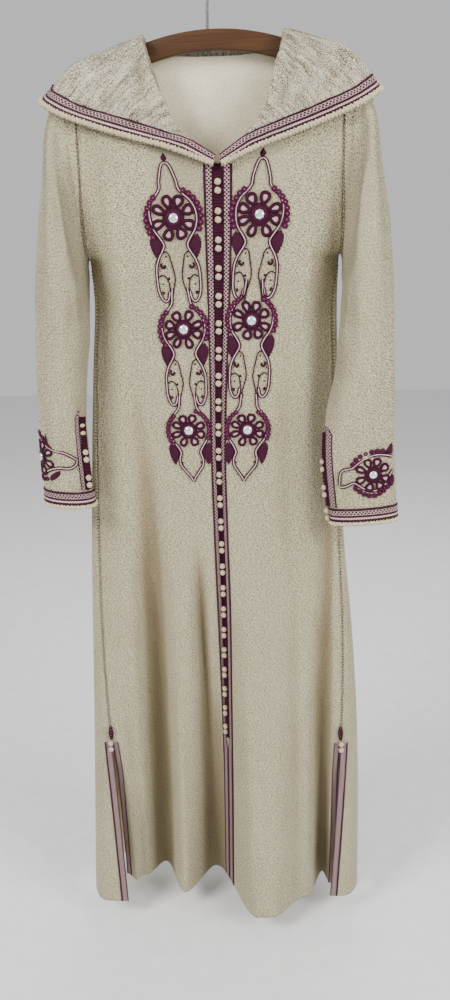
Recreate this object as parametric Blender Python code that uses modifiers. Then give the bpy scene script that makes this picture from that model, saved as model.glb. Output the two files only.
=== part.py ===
"""A woman's djellaba on an arched wooden hanger: cloth walls, braids, knot buttons and medallions.

Metres, +Z up, the front faces -Y, +X is the right hand side of someone looking at the front.
The origin is the inside top of the hanger's hook. Heights are given as "down", metres below it.
"""
import math

import bmesh
import bpy
import numpy as np

# Driving sizes
WALL = 0.0015
GAP = 0.0003
BRAID = 0.0012
HEM = 1.556
UNDERARM = 0.396
FULL_ROWS_FROM = 0.43
SLIT_TOP = 1.222
BAR_CENTRE = 0.008
BAR_TOP = 0.090
BAR_DROP = 1.5
BAR_HALF = 0.186
BAR_HEIGHT = 0.027
BAR_THICK = 0.012
SHOULDER_LIFT = 0.0021
HOOK_WIRE = 0.002
HOOK_INNER = 0.018
NECK_CENTRE = 0.012
NECK_HALF = 0.099
NECK_DIP = 0.004
NECK_DIP_WIDE = 0.024
ARMHOLE_X = 0.19
ARMHOLE_DEEP = 0.028
ARMHOLE_POWER = 0.3
SHOULDER_ROUND = 0.010
SEAM_BLEND = 0.045
SLIT_BRAID = 0.011
SEAM_TURN = 0.003
TURN_GROWS = 0.05
SIDE_FRONT = 0.035
SIDE_BACK = 0.030
SIDE_LEAST = 0.0005
BACK_SPREAD = 20
COLLAR_OUT = 0.003
COLLAR_LOW = 0.0008
BUTTON_PAIRS = 24
FIRST_PAIR = 0.301
PAIR_PITCH = 0.03935
KNOT_RADIUS = 0.0046
KNOT_APART = 0.0118
KNOT_SIDES = 6
KNOT_DEPTH = 0.837 * KNOT_RADIUS
KNOT_SLANT = 1.5


def table(columns, *rows):
    """A dictionary from column name to the column's values, one for each row."""
    return {name: np.array([row[i] for row in rows]) for i, name in enumerate(columns.split())}


# Both outlines of the hanging body, and how far its faces stand from the hanger's plane
BODY = table(
    "down left_seam left_out right_seam right_out front back",
    (0.100, -0.1900, -0.1900, 0.1900, 0.1900, -0.014, 0.015),
    (0.150, -0.1900, -0.1900, 0.1900, 0.1900, -0.018, 0.019),
    (0.200, -0.1900, -0.1900, 0.1900, 0.1900, -0.028, 0.027),
    (0.270, -0.1900, -0.1900, 0.1900, 0.1900, -0.038, 0.037),
    (0.392, -0.1900, -0.1905, 0.1900, 0.1905, -0.0435, 0.044),
    (0.450, -0.1810, -0.1880, 0.1810, 0.1890, -0.0438, 0.045),
    (0.550, -0.1860, -0.1950, 0.1820, 0.1910, -0.0432, 0.045),
    (0.650, -0.1920, -0.2040, 0.1850, 0.1950, -0.0420, 0.045),
    (0.850, -0.2010, -0.2204, 0.1960, 0.2070, -0.0395, 0.047),
    (1.000, -0.2060, -0.2300, 0.2040, 0.2230, -0.0370, 0.050),
    (1.160, -0.2050, -0.2400, 0.2060, 0.2360, -0.0340, 0.055),
    (1.365, -0.1960, -0.2520, 0.2000, 0.2450, -0.0310, 0.063),
    (1.556, -0.1886, -0.2630, 0.1920, 0.2490, -0.0300, 0.072),
)

# The side seams' depth below the underarm, and how far the front's free edge tucks in along the side slits
SEAM = table(
    "down left right",
    (0.392, 0.000, 0.000),
    (0.450, -0.010, -0.010),
    (0.550, -0.022, -0.020),
    (0.650, -0.027, -0.024),
    (0.850, -0.030, -0.028),
    (1.220, -0.036, -0.031),
    (1.365, -0.044, -0.031),
    (1.556, -0.055, -0.031),
)
TUCK = {-1: 0.070, 1: 0.036}
LAP = {-1: 0.020, 1: 0.014}

# The placket: its line, the half width of its loop strip and of the whole with its braids, and its groove
PLACKET = table(
    "down line loops braids groove",
    (0.270, 0.0120, 0.0075, 0.0186, 0.000),
    (0.388, 0.0106, 0.0070, 0.0168, 0.001),
    (0.495, 0.0082, 0.0062, 0.0140, 0.004),
    (0.592, 0.0051, 0.0052, 0.0118, 0.007),
    (0.695, 0.0025, 0.0047, 0.0106, 0.009),
    (0.804, 0.0031, 0.0047, 0.0104, 0.010),
    (0.948, 0.0050, 0.0047, 0.0104, 0.010),
    (1.148, 0.0050, 0.0040, 0.0090, 0.009),
    (1.280, 0.0045, 0.0034, 0.0084, 0.006),
    (1.556, 0.0007, 0.0030, 0.0080, 0.000),
)
GROOVE_HALF = 0.013
FRONT_SPREAD = 10

# Folds of the front: each ridge (negative) or valley, where it stands high up and at the hem
FRONT_FOLDS = table(
    "high_x hem_x depth starts",
    (-0.180, -0.186, 0.000, 1.20),
    (-0.150, -0.166, 0.040, 1.00),
    (-0.110, -0.131, 0.080, 0.58),
    (-0.060, -0.084, 0.000, 0.70),
    (-0.004, -0.027, 0.070, 0.86),
    (0.040, 0.056, -0.057, 0.80),
    (0.085, 0.082, -0.055, 0.80),
    (0.135, 0.146, -0.005, 0.95),
    (0.174, 0.181, 0.045, 0.60),
    (0.186, 0.194, 0.000, 1.20),
)
BACK_FOLDS = table(
    "high_x hem_x depth starts",
    (-0.165, -0.205, 0.000, 0.60),
    (-0.120, -0.133, 0.022, 0.60),
    (-0.072, -0.078, -0.024, 0.55),
    (-0.028, -0.026, 0.022, 0.75),
    (0.030, 0.040, -0.022, 0.60),
    (0.085, 0.098, 0.018, 0.70),
    (0.130, 0.155, -0.022, 0.60),
    (0.165, 0.205, 0.000, 0.60),
)
FOLDS_HIGH = 0.60
FOLD_GROWTH = 1.35

# The front neckline, half width against height, and the back neckline
NECK = table("half down", (0.000, 0.270), (0.020, 0.257), (0.045, 0.234), (0.063, 0.212),
             (0.076, 0.180), (0.087, 0.148), (0.099, 0.112))
BACK_NECK = table("half down", (0.000, 0.1205), (0.040, 0.1195), (0.070, 0.1165), (0.099, 0.1060))

# The sleeves: each loop's outer and inner point, the depth of its middle, its half depth,
# and how far its front laps over the body
SLEEVE = {
    -1: table(
        "out_x out_down in_x in_down middle deep lap",
        (-0.2090, 0.156, -0.1930, 0.400, 0.000, 0.030, 0.000),
        (-0.2280, 0.177, -0.1945, 0.410, -0.002, 0.042, 0.000),
        (-0.2410, 0.222, -0.1945, 0.427, -0.006, 0.054, 0.004),
        (-0.2500, 0.290, -0.1940, 0.450, -0.014, 0.054, 0.008),
        (-0.2620, 0.380, -0.1930, 0.490, -0.026, 0.048, 0.010),
        (-0.2700, 0.470, -0.1970, 0.550, -0.038, 0.042, 0.007),
        (-0.2745, 0.570, -0.2025, 0.610, -0.046, 0.036, 0.002),
        (-0.2760, 0.660, -0.2030, 0.670, -0.050, 0.032, 0.000),
        (-0.2775, 0.768, -0.1980, 0.774, -0.050, 0.030, 0.000),
    ),
    1: table(
        "out_x out_down in_x in_down middle deep lap",
        (0.2070, 0.147, 0.1930, 0.400, 0.000, 0.030, 0.000),
        (0.2260, 0.169, 0.1945, 0.410, -0.002, 0.042, 0.000),
        (0.2390, 0.215, 0.1945, 0.427, -0.008, 0.052, 0.004),
        (0.2500, 0.285, 0.1940, 0.450, -0.018, 0.050, 0.008),
        (0.2620, 0.380, 0.1900, 0.495, -0.034, 0.042, 0.012),
        (0.2670, 0.470, 0.1830, 0.560, -0.052, 0.032, 0.006),
        (0.2690, 0.580, 0.1700, 0.620, -0.066, 0.025, 0.000),
        (0.2730, 0.680, 0.1670, 0.690, -0.069, 0.021, 0.000),
        (0.2815, 0.795, 0.1790, 0.802, -0.067, 0.020, 0.000),
    ),
}
CUFF_BAND = 0.030
CUFF_STRIP_TURN = {-1: 118, 1: 132}
CUFF_STRIP = (5, 8)
CUFF_STRIP_ROWS = 4
CUFF_KNOTS = {-1: (0.646, 0.688, 0.729), 1: (0.706, 0.747, 0.785)}
CUFF_KNOT_COLUMN = {-1: 6.6, 1: 7.85}
CUFF_KNOT_OUT = {-1: 0.93, 1: 1.02}
SLIT_KNOT_OUT = {-1: 0.96, 1: 0.88}
SLEEVE_ROWS = 12

# The hood's cross sections from the neck's V round to the centre back. Each runs from the neck seam
# over the roll and two more points to the rim, in half width, depth and height
HOOD = table(
    "neck_h neck_y neck_d roll_h roll_y roll_d a_h a_y a_d b_h b_y b_d rim_h rim_y rim_d",
    (0.004, -0.0415, 0.266, 0.003, -0.0445, 0.261, 0.004, -0.0470, 0.266, 0.005, -0.0470, 0.270,
     0.006, -0.0460, 0.275),
    (0.039, -0.0385, 0.244, 0.037, -0.0420, 0.236, 0.046, -0.0455, 0.239, 0.054, -0.0455, 0.245,
     0.062, -0.0440, 0.252),
    (0.066, -0.0345, 0.215, 0.063, -0.0385, 0.206, 0.079, -0.0430, 0.213, 0.094, -0.0435, 0.224,
     0.108, -0.0425, 0.238),
    (0.094, -0.0225, 0.152, 0.088, -0.0280, 0.143, 0.113, -0.0370, 0.166, 0.138, -0.0405, 0.194,
     0.162, -0.0405, 0.221),
    (0.104, -0.0210, 0.113, 0.098, -0.0200, 0.104, 0.131, -0.0250, 0.126, 0.170, -0.0320, 0.160,
     0.210, -0.0385, 0.203),
    (0.107, -0.0020, 0.0985, 0.101, -0.0020, 0.0945, 0.143, -0.0080, 0.109, 0.195, -0.0160, 0.131,
     0.240, -0.0220, 0.185),
    (0.107, 0.0040, 0.0995, 0.101, 0.0050, 0.095, 0.145, 0.0050, 0.109, 0.199, 0.0050, 0.131,
     0.246, 0.0010, 0.174),
    (0.104, 0.0150, 0.106, 0.098, 0.0165, 0.099, 0.141, 0.0190, 0.117, 0.196, 0.0200, 0.140,
     0.243, 0.0150, 0.166),
    (0.092, 0.0181, 0.120, 0.090, 0.0240, 0.108, 0.130, 0.0370, 0.160, 0.180, 0.0430, 0.185,
     0.228, 0.0340, 0.160),
    (0.072, 0.0184, 0.125, 0.071, 0.0250, 0.1135, 0.100, 0.0480, 0.240, 0.130, 0.0640, 0.280,
     0.186, 0.0500, 0.158),
    (0.048, 0.0184, 0.127, 0.048, 0.0255, 0.1155, 0.062, 0.0580, 0.335, 0.078, 0.0770, 0.380,
     0.128, 0.0620, 0.156),
    (0.024, 0.0184, 0.128, 0.024, 0.0260, 0.1160, 0.030, 0.0630, 0.410, 0.038, 0.0840, 0.455,
     0.064, 0.0690, 0.160),
    (0.000, 0.0184, 0.128, 0.000, 0.0262, 0.1162, 0.000, 0.0650, 0.440, 0.000, 0.0870, 0.485,
     0.000, 0.0720, 0.163),
)
HOOD_SKEW = 0.24
HOOD_TRIM = 0.030

# Medallions of the chest: centre and radius
MEDALLIONS = table("column x down radius",
                   (-1, -0.0540, 0.342, 0.038), (-1, -0.0450, 0.500, 0.034), (-1, -0.0430, 0.655, 0.031),
                   (1, 0.0710, 0.340, 0.038), (1, 0.0575, 0.489, 0.034), (1, 0.0490, 0.655, 0.031))
MEDALLION_THICK = 0.0010
CRYSTAL_RADIUS = 0.0068
CRYSTAL_HEIGHT = 0.0026
SCALLOPS = 12


def ease(t):
    """Smooth step from 0 to 1 with level ends."""
    t = np.clip(t, 0.0, 1.0)
    return t * t * (3.0 - 2.0 * t)


def read(tab, key, column, where):
    """A table's column as a smooth curve through its rows, by cubic Hermite pieces."""
    x, y = tab[key], tab[column]
    slope = np.gradient(y, x)
    where = np.clip(where, x[0], x[-1])
    i = np.clip(np.searchsorted(x, where) - 1, 0, len(x) - 2)
    step = x[i + 1] - x[i]
    t = (where - x[i]) / step
    rise = y[i + 1] - y[i]
    return (y[i] + rise * t * t * (3 - 2 * t) + step * t * (1 - t) * (slope[i] * (1 - t) - slope[i + 1] * t))


def through(points, count):
    """Points along a smooth curve through control points (axis 0), by Catmull-Rom pieces."""
    points = np.asarray(points, float)
    t = np.linspace(0, len(points) - 1, count)
    i = np.clip(t.astype(int), 0, len(points) - 2)
    u = (t - i).reshape((-1,) + (1,) * (points.ndim - 1))
    padded = np.concatenate([[2 * points[0] - points[1]], points, [2 * points[-1] - points[-2]]])
    a, b, c, d = padded[i], padded[i + 1], padded[i + 2], padded[i + 3]
    return 0.5 * (2 * b + (c - a) * u + (2 * a - 5 * b + 4 * c - d) * u ** 2 + (3 * b - a - 3 * c + d) * u ** 3)


def at_lengths(points, lengths):
    """Points of a polyline (n, 3) at the given lengths from its start."""
    along = np.concatenate([[0], np.cumsum(np.linalg.norm(np.diff(points, axis=0), axis=1))])
    return np.stack([np.interp(lengths, along, points[:, k]) for k in range(points.shape[1])], -1), along[-1]


def bar_top(x):
    return BAR_TOP + BAR_DROP * (x - BAR_CENTRE) ** 2


def shoulder(x):
    """The shoulder line's height below the hook: it follows the hanger's top, just clear of it."""
    return bar_top(x) - SHOULDER_LIFT


def armhole_depth(side, down):
    """Half the armhole's depth, a flattened oval from the shoulder's tip to the underarm."""
    top = shoulder(side * ARMHOLE_X)
    t = np.clip((down - top) / (UNDERARM - top), 0, 1)
    return ARMHOLE_DEEP * (4 * t * (1 - t)) ** ARMHOLE_POWER


def side_name(side):
    return "left" if side < 0 else "right"


def seam_x(side, down):
    return read(BODY, "down", side_name(side) + "_seam", down)


def seam_y(side, down):
    armhole = -np.maximum(armhole_depth(side, down), WALL + GAP)
    return np.where(down < UNDERARM, armhole, read(SEAM, "down", side_name(side), down))


def slit_share(down):
    return np.clip((down - SLIT_TOP) / (HEM - SLIT_TOP), 0, 1)


def front_edge(side, down):
    """The front's outer edge: on the seam, then behind the back's edge along the slit."""
    s = slit_share(down)
    x = seam_x(side, down) + side * LAP[side] * np.maximum(0, s - 0.2)
    return x, seam_y(side, down) + TUCK[side] * s


def fold_wave(folds, x, down):
    """Depth of a row of folds: level at each ridge and valley, a smooth step between neighbours."""
    drop = np.clip((down - FOLDS_HIGH) / (HEM - FOLDS_HIGH), 0, 1)
    total = 0.0
    for i in range(len(folds["depth"]) - 1):
        here = folds["high_x"][i] + (folds["hem_x"][i] - folds["high_x"][i]) * drop
        then = folds["high_x"][i + 1] + (folds["hem_x"][i + 1] - folds["high_x"][i + 1]) * drop
        depth = [folds["depth"][k] * np.clip((down - folds["starts"][k]) / (HEM - folds["starts"][k]), 0, 1)
                 ** FOLD_GROWTH for k in (i, i + 1)]
        inside = (x >= here) & (x < then)
        total = total + np.where(inside, depth[0] + (depth[1] - depth[0]) * ease((x - here) / (then - here)), 0)
    return total


def front_y(x, down):
    """The front's outer face: flat at chest depth, rounded over the shoulder and into the side seams."""
    crown = np.sqrt(1 - (1 - np.clip((down - shoulder(x)) / SHOULDER_ROUND, 0, 1)) ** 2)
    y = np.minimum(read(BODY, "down", "front", down) * crown, -GAP)
    for side in (-1, 1):
        edge_x, edge_y = front_edge(side, down)
        y = y + (edge_y - y) * ease(1 - (edge_x - x) * side / SEAM_BLEND)
    line = read(PLACKET, "down", "line", down)
    groove = read(PLACKET, "down", "groove", down) * ease(1 - np.abs(x - line) / GROOVE_HALF)
    return y + fold_wave(FRONT_FOLDS, x, down) + groove


def panel_top(x, neck):
    """The top edge of the front or the back: its neckline, a short dip beside it, then the shoulder line."""
    half = np.abs(x - NECK_CENTRE)
    outside = shoulder(x) + NECK_DIP * (1 - ease((half - NECK_HALF) / NECK_DIP_WIDE))
    return np.where(half < NECK_HALF, read(neck, "half", "down", half), outside)


def full_rows():
    """Heights of the level rows, from below the underarm to the hem, with one at the slits' top."""
    upper = np.linspace(FULL_ROWS_FROM, SLIT_TOP, 14)
    return np.concatenate([upper, np.linspace(SLIT_TOP, HEM, 9)[1:]])


def row_heights(top):
    """A column's heights: close rows over the shoulder, then even ones down to the level rows."""
    close = top + np.array([0.0, 0.0004, 0.0025, 0.010, 0.030])
    spread = close[-1] + (FULL_ROWS_FROM - close[-1]) * np.linspace(0, 1, 8)[1:-1]
    return np.concatenate([close, spread, full_rows()])


def front_columns(side, down):
    """One row of the front, across: the placket's three columns, even steps, then the slit braid and the edge."""
    line = read(PLACKET, "down", "line", down[:3])
    braid = line[2] + side * read(PLACKET, "down", "braids", down[2])
    edge = front_edge(side, down[-1])[0]
    dense = np.linspace(braid, edge - side * SLIT_BRAID, 160)
    depth = front_y(dense, np.full(160, max(down[len(down) // 2], FULL_ROWS_FROM)))
    along = np.concatenate([[0], np.cumsum(np.hypot(np.diff(dense), np.diff(depth)))])
    even = np.interp(np.linspace(0, along[-1], FRONT_SPREAD + 1), along, dense)
    first = [line[0] + side * GAP / 2, line[1] + side * read(PLACKET, "down", "loops", down[1])]
    return np.concatenate([first, even, [edge]])


def front_grid(side):
    """The front's outer face: rows down, columns from the placket's line out to the side seam."""
    tops = np.full(FRONT_SPREAD + 4, float(shoulder(BAR_HALF)))
    for _ in range(2):
        heights = np.stack([row_heights(top) for top in tops], 1)
        xs = np.stack([front_columns(side, down) for down in heights])
        tops = panel_top(xs[0], NECK)
    heights = np.stack([row_heights(top) for top in tops], 1)
    return np.stack([xs, front_y(xs, heights), -heights], -1)


def back_line(down, ridge):
    """One level line of the back, from the left seam round behind to the right seam, as dense points."""
    ends = []
    depth = float(read(BODY, "down", "back", down))
    crown = math.sqrt(1 - (1 - min(max((down - ridge) / SHOULDER_ROUND, 0), 1)) ** 2)
    for side in (-1, 1):
        seam = float(seam_x(side, down))
        out = float(read(BODY, "down", side_name(side) + "_out", down))
        y = float(seam_y(side, down)) * (-1 if down < UNDERARM else 1)
        flat = SEAM_TURN * float(ease((down - UNDERARM) / TURN_GROWS))
        wide_front = min(SIDE_FRONT, max(abs(out - seam) - flat, SIDE_LEAST))
        angle = np.linspace(-math.pi / 2, math.pi / 2, 25)
        wide = np.where(angle < 0, wide_front, SIDE_BACK)
        x = out + side * -(wide - wide * np.cos(angle))
        arc = np.stack([x, (y + depth * crown) / 2 + (depth * crown - y) / 2 * np.sin(angle)], -1)
        start = np.array([[seam + (side * GAP if down > UNDERARM else 0), y], [seam + side * flat, y]])
        ends.append(np.concatenate([start, arc]))
    x = np.linspace(ends[0][-1, 0], ends[1][-1, 0], 150)[1:-1]
    flat = np.stack([x, max(depth * crown, GAP) + fold_wave(BACK_FOLDS, x, down)], -1)
    return np.concatenate([ends[0], flat, ends[1][::-1]])


def back_grid():
    """The back's outer face, rows down and columns from the left seam round to the right seam."""
    turned, inner = ARMHOLE_X - SEAM_TURN, ARMHOLE_X - SLIT_BRAID
    across = np.concatenate([[-ARMHOLE_X, -turned], np.linspace(-inner, inner, BACK_SPREAD), [turned, ARMHOLE_X]])
    columns = len(across)
    for _ in range(2):
        ridges = shoulder(across)
        tops = panel_top(across, BACK_NECK)
        heights = np.stack([row_heights(top) for top in tops], 1)
        grid = np.zeros(heights.shape + (3,))
        for r in range(heights.shape[0]):
            for c in range(columns):
                line = back_line(heights[r, c], ridges[c])
                length = np.concatenate([[0], np.cumsum(np.linalg.norm(np.diff(line, axis=0), axis=1))])
                even = np.linspace(SLIT_BRAID, length[-1] - SLIT_BRAID, BACK_SPREAD)
                places = np.concatenate([[0, SEAM_TURN], even, [length[-1] - SEAM_TURN, length[-1]]])
                x = np.interp(places[c], length, line[:, 0])
                y = np.interp(places[c], length, line[:, 1])
                grid[r, c] = x, y, -heights[r, c]
        across = grid[0, :, 0]
    return grid


def sleeve_turns(side):
    """The angles of a sleeve's columns from its outer point round the front, one at the cuff strip's edge."""
    strip = CUFF_STRIP_TURN[side]
    front = np.concatenate([np.linspace(0, strip, CUFF_STRIP[0] + 1)[:-1],
                            np.linspace(strip, 180, CUFF_STRIP[1] - CUFF_STRIP[0] + 1)[:-1]])
    return np.radians(np.concatenate([front, np.linspace(180, 360, CUFF_STRIP[1] + 1)[:-1]]))


def sleeve_loop(side, share):
    """One closed loop of the sleeve at a share of its rows, from the outer point round the front."""
    tab = SLEEVE[side]
    value = {name: float(through(tab[name][:, None], 101)[int(round(share * 100)), 0]) for name in tab}
    turn = sleeve_turns(side)
    swing = np.cos(turn)
    x = (value["out_x"] + value["in_x"]) / 2 + (value["out_x"] - value["in_x"]) / 2 * swing
    down = (value["out_down"] + value["in_down"]) / 2 + (value["out_down"] - value["in_down"]) / 2 * swing
    front = np.maximum(0, np.sin(turn))
    x = x - side * value["lap"] * front ** 2 * (1 - swing)
    y = value["middle"] - value["deep"] * np.sign(np.sin(turn)) * np.abs(np.sin(turn)) ** 0.9
    return np.stack([x, y, -down], -1)


def sleeve_grid(side):
    """The sleeve's outer face: the armhole loop first, then loops down to the cuff."""
    turn = sleeve_turns(side)
    top = shoulder(side * ARMHOLE_X)
    down = (top + UNDERARM) / 2 - (UNDERARM - top) / 2 * np.cos(turn)
    y = -np.sign(np.sin(turn)) * armhole_depth(side, down) * (np.abs(np.sin(turn)) > 1e-6)
    x = seam_x(side, down)
    seam = np.stack([x + side * 2 * GAP, y, -down], -1)
    collar = np.stack([x + side * COLLAR_OUT, y, -down - COLLAR_LOW], -1)
    rows = [sleeve_loop(side, share) for share in np.linspace(0, 1, SLEEVE_ROWS - 1)[:-1]]
    last = sleeve_loop(side, 1.0)
    reach = np.linalg.norm(last - rows[-1], axis=1, keepdims=True)
    band = last + (rows[-1] - last) * CUFF_BAND / reach
    return np.stack([seam, collar] + rows + [band, last])


def hood_controls():
    """The hood's control sections from the left of the V round the back to the right of the V."""
    names = ("neck", "roll", "a", "b", "rim")
    half = np.stack([HOOD[n + "_h"] for n in names], 1)
    y = np.stack([HOOD[n + "_y"] for n in names], 1)
    down = np.stack([HOOD[n + "_d"] for n in names], 1)
    skew = NECK_CENTRE * (1 - ease(half / HOOD_SKEW))
    left = np.stack([-half + skew, y, -down], -1)
    right = np.stack([half + skew, y, -down], -1)
    return np.concatenate([left, right[-2::-1]])


def hood_grid():
    """The hood's inner face, the one that shows: sections along the neck, points from neck to rim."""
    sections = through(hood_controls(), 33)
    rows = []
    for section in sections:
        dense = through(section, 81)
        _, total = at_lengths(dense, [0])
        trim = min(HOOD_TRIM, total * 0.55)
        places = np.concatenate([np.linspace(0, total - trim, 11), [total - trim / 2, total]])
        rows.append(at_lengths(dense, places)[0])
    return np.stack(rows)


def normals(grid, wrap=False):
    """Unit normals of a grid of points: the cross product of its row and column directions."""
    down = np.gradient(grid, axis=0)
    if wrap:
        across = (np.roll(grid, -1, 1) - np.roll(grid, 1, 1)) / 2
    else:
        across = np.gradient(grid, axis=1)
    n = np.cross(down, across)
    return n / np.linalg.norm(n, axis=-1, keepdims=True)


def material(name, color, roughness, metallic=0.0):
    made = bpy.data.materials.new(name)
    made.use_nodes = True
    shader = made.node_tree.nodes["Principled BSDF"]
    shader.inputs["Base Color"].default_value = (*color, 1.0)
    shader.inputs["Roughness"].default_value = roughness
    shader.inputs["Metallic"].default_value = metallic
    return made


def grid_mesh(name, grid, wrap=False, flip=False):
    """A mesh over a grid of points, each cell cut along the same diagonal, closed round if wrap is set."""
    rows, columns = grid.shape[:2]
    index = np.arange(rows * columns).reshape(rows, columns)
    if wrap:
        index = np.concatenate([index, index[:, :1]], 1)
    a, b, c, d = index[:-1, :-1], index[1:, :-1], index[1:, 1:], index[:-1, 1:]
    faces = np.concatenate([np.stack([a, b, c], -1).reshape(-1, 3), np.stack([a, c, d], -1).reshape(-1, 3)])
    if flip:
        faces = faces[:, ::-1]
    mesh = bpy.data.meshes.new(name)
    mesh.from_pydata(grid.reshape(-1, 3).tolist(), [], faces.tolist())
    mesh.validate()
    return mesh


def place(name, mesh, finish, location=(0, 0, 0)):
    made = bpy.data.objects.new(name, mesh)
    if finish.name not in mesh.materials:
        mesh.materials.append(finish)
    made.location = location
    PARTS.objects.link(made)
    return made


def cloth(name, grid, finish, wrap=False, flip=False, wall=WALL, grow=-1.0):
    """A cloth wall: the grid is one face, and Solidify gives it its thickness behind or in front."""
    made = place(name, grid_mesh(name, grid, wrap, flip), finish)
    made.data.shade_smooth()
    thick = made.modifiers.new("wall", "SOLIDIFY")
    thick.thickness = wall
    thick.offset = grow
    return made


def moved_out(grid, lift, wrap=False, flip=False):
    """The face's own points moved out along its normals."""
    return grid + normals(grid, wrap) * (-lift if flip else lift)


def laid_on(name, grid, lift, finish, flip=False):
    """A braid that lies on a face: the face's own points moved out by lift, thickened outwards."""
    return cloth(name, moved_out(grid, lift, flip=flip), finish, flip=flip, wall=BRAID, grow=1.0)


def hanger_bar():
    """The arched bar: rounded oblong sections along a parabola, lower at its ends."""
    stations = np.linspace(-1, 1, 25)
    corner = 0.004
    angles = np.linspace(0, 2 * math.pi, 17)[:-1] + math.pi / 16
    sections = []
    for s in stations:
        x = BAR_CENTRE + BAR_HALF * s
        tall = BAR_HEIGHT * (1 - 0.22 * s ** 4) * (1 if abs(s) < 1 else 0.8)
        thick = BAR_THICK * (1 if abs(s) < 1 else 0.75)
        slope = 2 * BAR_DROP * BAR_HALF * s
        up = np.array([slope, 1.0]) / math.hypot(slope, 1)
        ring = []
        for a in angles:
            v = np.clip(math.sin(a) * 1.5, -1, 1) * (tall / 2 - corner) + math.sin(a) * corner
            w = np.clip(math.cos(a) * 1.5, -1, 1) * (thick / 2 - corner) + math.cos(a) * corner
            drop = BAR_HEIGHT / 2 - v
            ring.append((x - up[0] * drop, w, -bar_top(x) - up[1] * drop))
        sections.append(ring)
    grid = np.array(sections)
    mesh = grid_mesh("hanger_bar", grid, wrap=True)
    work = bmesh.new()
    work.from_mesh(mesh)
    bmesh.ops.holes_fill(work, edges=[e for e in work.edges if e.is_boundary])
    bmesh.ops.recalc_face_normals(work, faces=work.faces)
    work.to_mesh(mesh)
    work.free()
    bar = place("hanger_bar", mesh, WOOD)
    bpy.ops.mesh.primitive_cylinder_add(vertices=16, radius=HOOK_WIRE + GAP, depth=0.08,
                                        location=(0, 0, -BAR_TOP - BAR_HEIGHT / 2))
    cutter = bpy.context.object
    cutter.name = "hook_bore_cutter"
    cutter.hide_render = True
    cutter.display_type = "WIRE"
    for owner in list(cutter.users_collection):
        owner.objects.unlink(cutter)
    CUTTERS.objects.link(cutter)
    bore = bar.modifiers.new("hook bore", "BOOLEAN")
    bore.operation = "DIFFERENCE"
    bore.object = cutter
    return bar


def hanger_hook():
    """A wire: from its tip under the bar up the stem and round a question mark above it."""
    ring = HOOK_INNER + HOOK_WIRE
    centre = -HOOK_INNER
    turn = np.radians(np.linspace(-62, 196, 19))
    curl = np.stack([ring * np.cos(turn), centre + ring * np.sin(turn)], -1)
    joint = np.array([[0.0, -0.1205], [0.0, -0.088], [0.0, -0.058], [0.0015, -0.049], [0.0055, -0.0405]])
    route = np.concatenate([joint, curl])
    curve = bpy.data.curves.new("hanger_hook", "CURVE")
    curve.dimensions = "3D"
    curve.bevel_depth = HOOK_WIRE
    curve.bevel_resolution = 2
    curve.use_fill_caps = True
    line = curve.splines.new("POLY")
    line.points.add(len(route) - 1)
    for point, (x, z) in zip(line.points, route):
        point.co = (x, 0.0, z, 1.0)
    return place("hanger_hook", curve, METAL)


def knot_pair_mesh():
    """Two knots one above the other, joined by a short neck: half an outline, to be turned."""
    r, apart = KNOT_RADIUS, KNOT_APART / 2
    outline = []
    for z in (apart, -apart):
        for angle in (60, 15, -35):
            outline.append((r * math.cos(math.radians(angle)), z + r * math.sin(math.radians(angle))))
    outline = [(0.0, apart + r)] + outline + [(0.0, -apart - r)]
    mesh = bpy.data.meshes.new("knot_pair")
    mesh.from_pydata([(x, 0, z) for x, z in outline], [(i, i + 1) for i in range(len(outline) - 1)], [])
    return mesh


def knot_seat(x, down):
    """How far back a knot can go at a height, by the strip's face under it and under its slanted sides."""
    across = KNOT_RADIUS * np.linspace(-1, 1, 9)
    cloth_y = front_y(x + across, np.full(9, down))
    strip_y = cloth_y - (3 * GAP + BRAID) * np.hypot(1, np.gradient(cloth_y, across))
    recede = np.maximum(0, np.abs(across) - KNOT_RADIUS / 2) * KNOT_SLANT
    return float((strip_y + recede).min())


def knot_pair(name, mesh, location, tilt=0.0, lean=0.0):
    made = place(name, mesh, CREAM_CORD, location)
    made.rotation_euler = (lean, tilt, 0.0)
    turn = made.modifiers.new("turn", "SCREW")
    turn.steps = KNOT_SIDES
    turn.render_steps = KNOT_SIDES
    turn.use_merge_vertices = True
    turn.merge_threshold = 0.00001
    return made


def medallion(name, x, down, radius):
    """A scalloped disc that follows the cloth, with a low crystal dome raised at its centre."""
    turn = np.linspace(0, 2 * math.pi, 2 * SCALLOPS + 1)[:-1]
    edge = radius * (1 - 0.06 * (1 - np.cos(turn * SCALLOPS)) / 2)
    rings = [(edge, 0.0), (edge, MEDALLION_THICK),
             (np.full_like(turn, CRYSTAL_RADIUS), MEDALLION_THICK),
             (np.full_like(turn, CRYSTAL_RADIUS * 0.62), MEDALLION_THICK + CRYSTAL_HEIGHT)]
    points = []
    for r, lift in rings:
        px, pd = x + r * np.cos(turn), down + r * np.sin(turn)
        points.append(np.stack([px, front_y(px, pd) - 2 * GAP - lift, -pd], -1))
    grid = np.stack(points)
    mesh = grid_mesh(name, grid, wrap=True)
    work = bmesh.new()
    work.from_mesh(mesh)
    bmesh.ops.holes_fill(work, edges=[e for e in work.edges if e.is_boundary])
    bmesh.ops.recalc_face_normals(work, faces=work.faces)
    work.to_mesh(mesh)
    work.free()
    return place(name, mesh, PURPLE)


def build_body():
    fronts = {side: front_grid(side) for side in (-1, 1)}
    for side, grid in fronts.items():
        cloth("front_" + side_name(side), grid, CLOTH, flip=side < 0)
    back = back_grid()
    cloth("back", back, CLOTH, flip=True)
    return fronts, back


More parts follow.
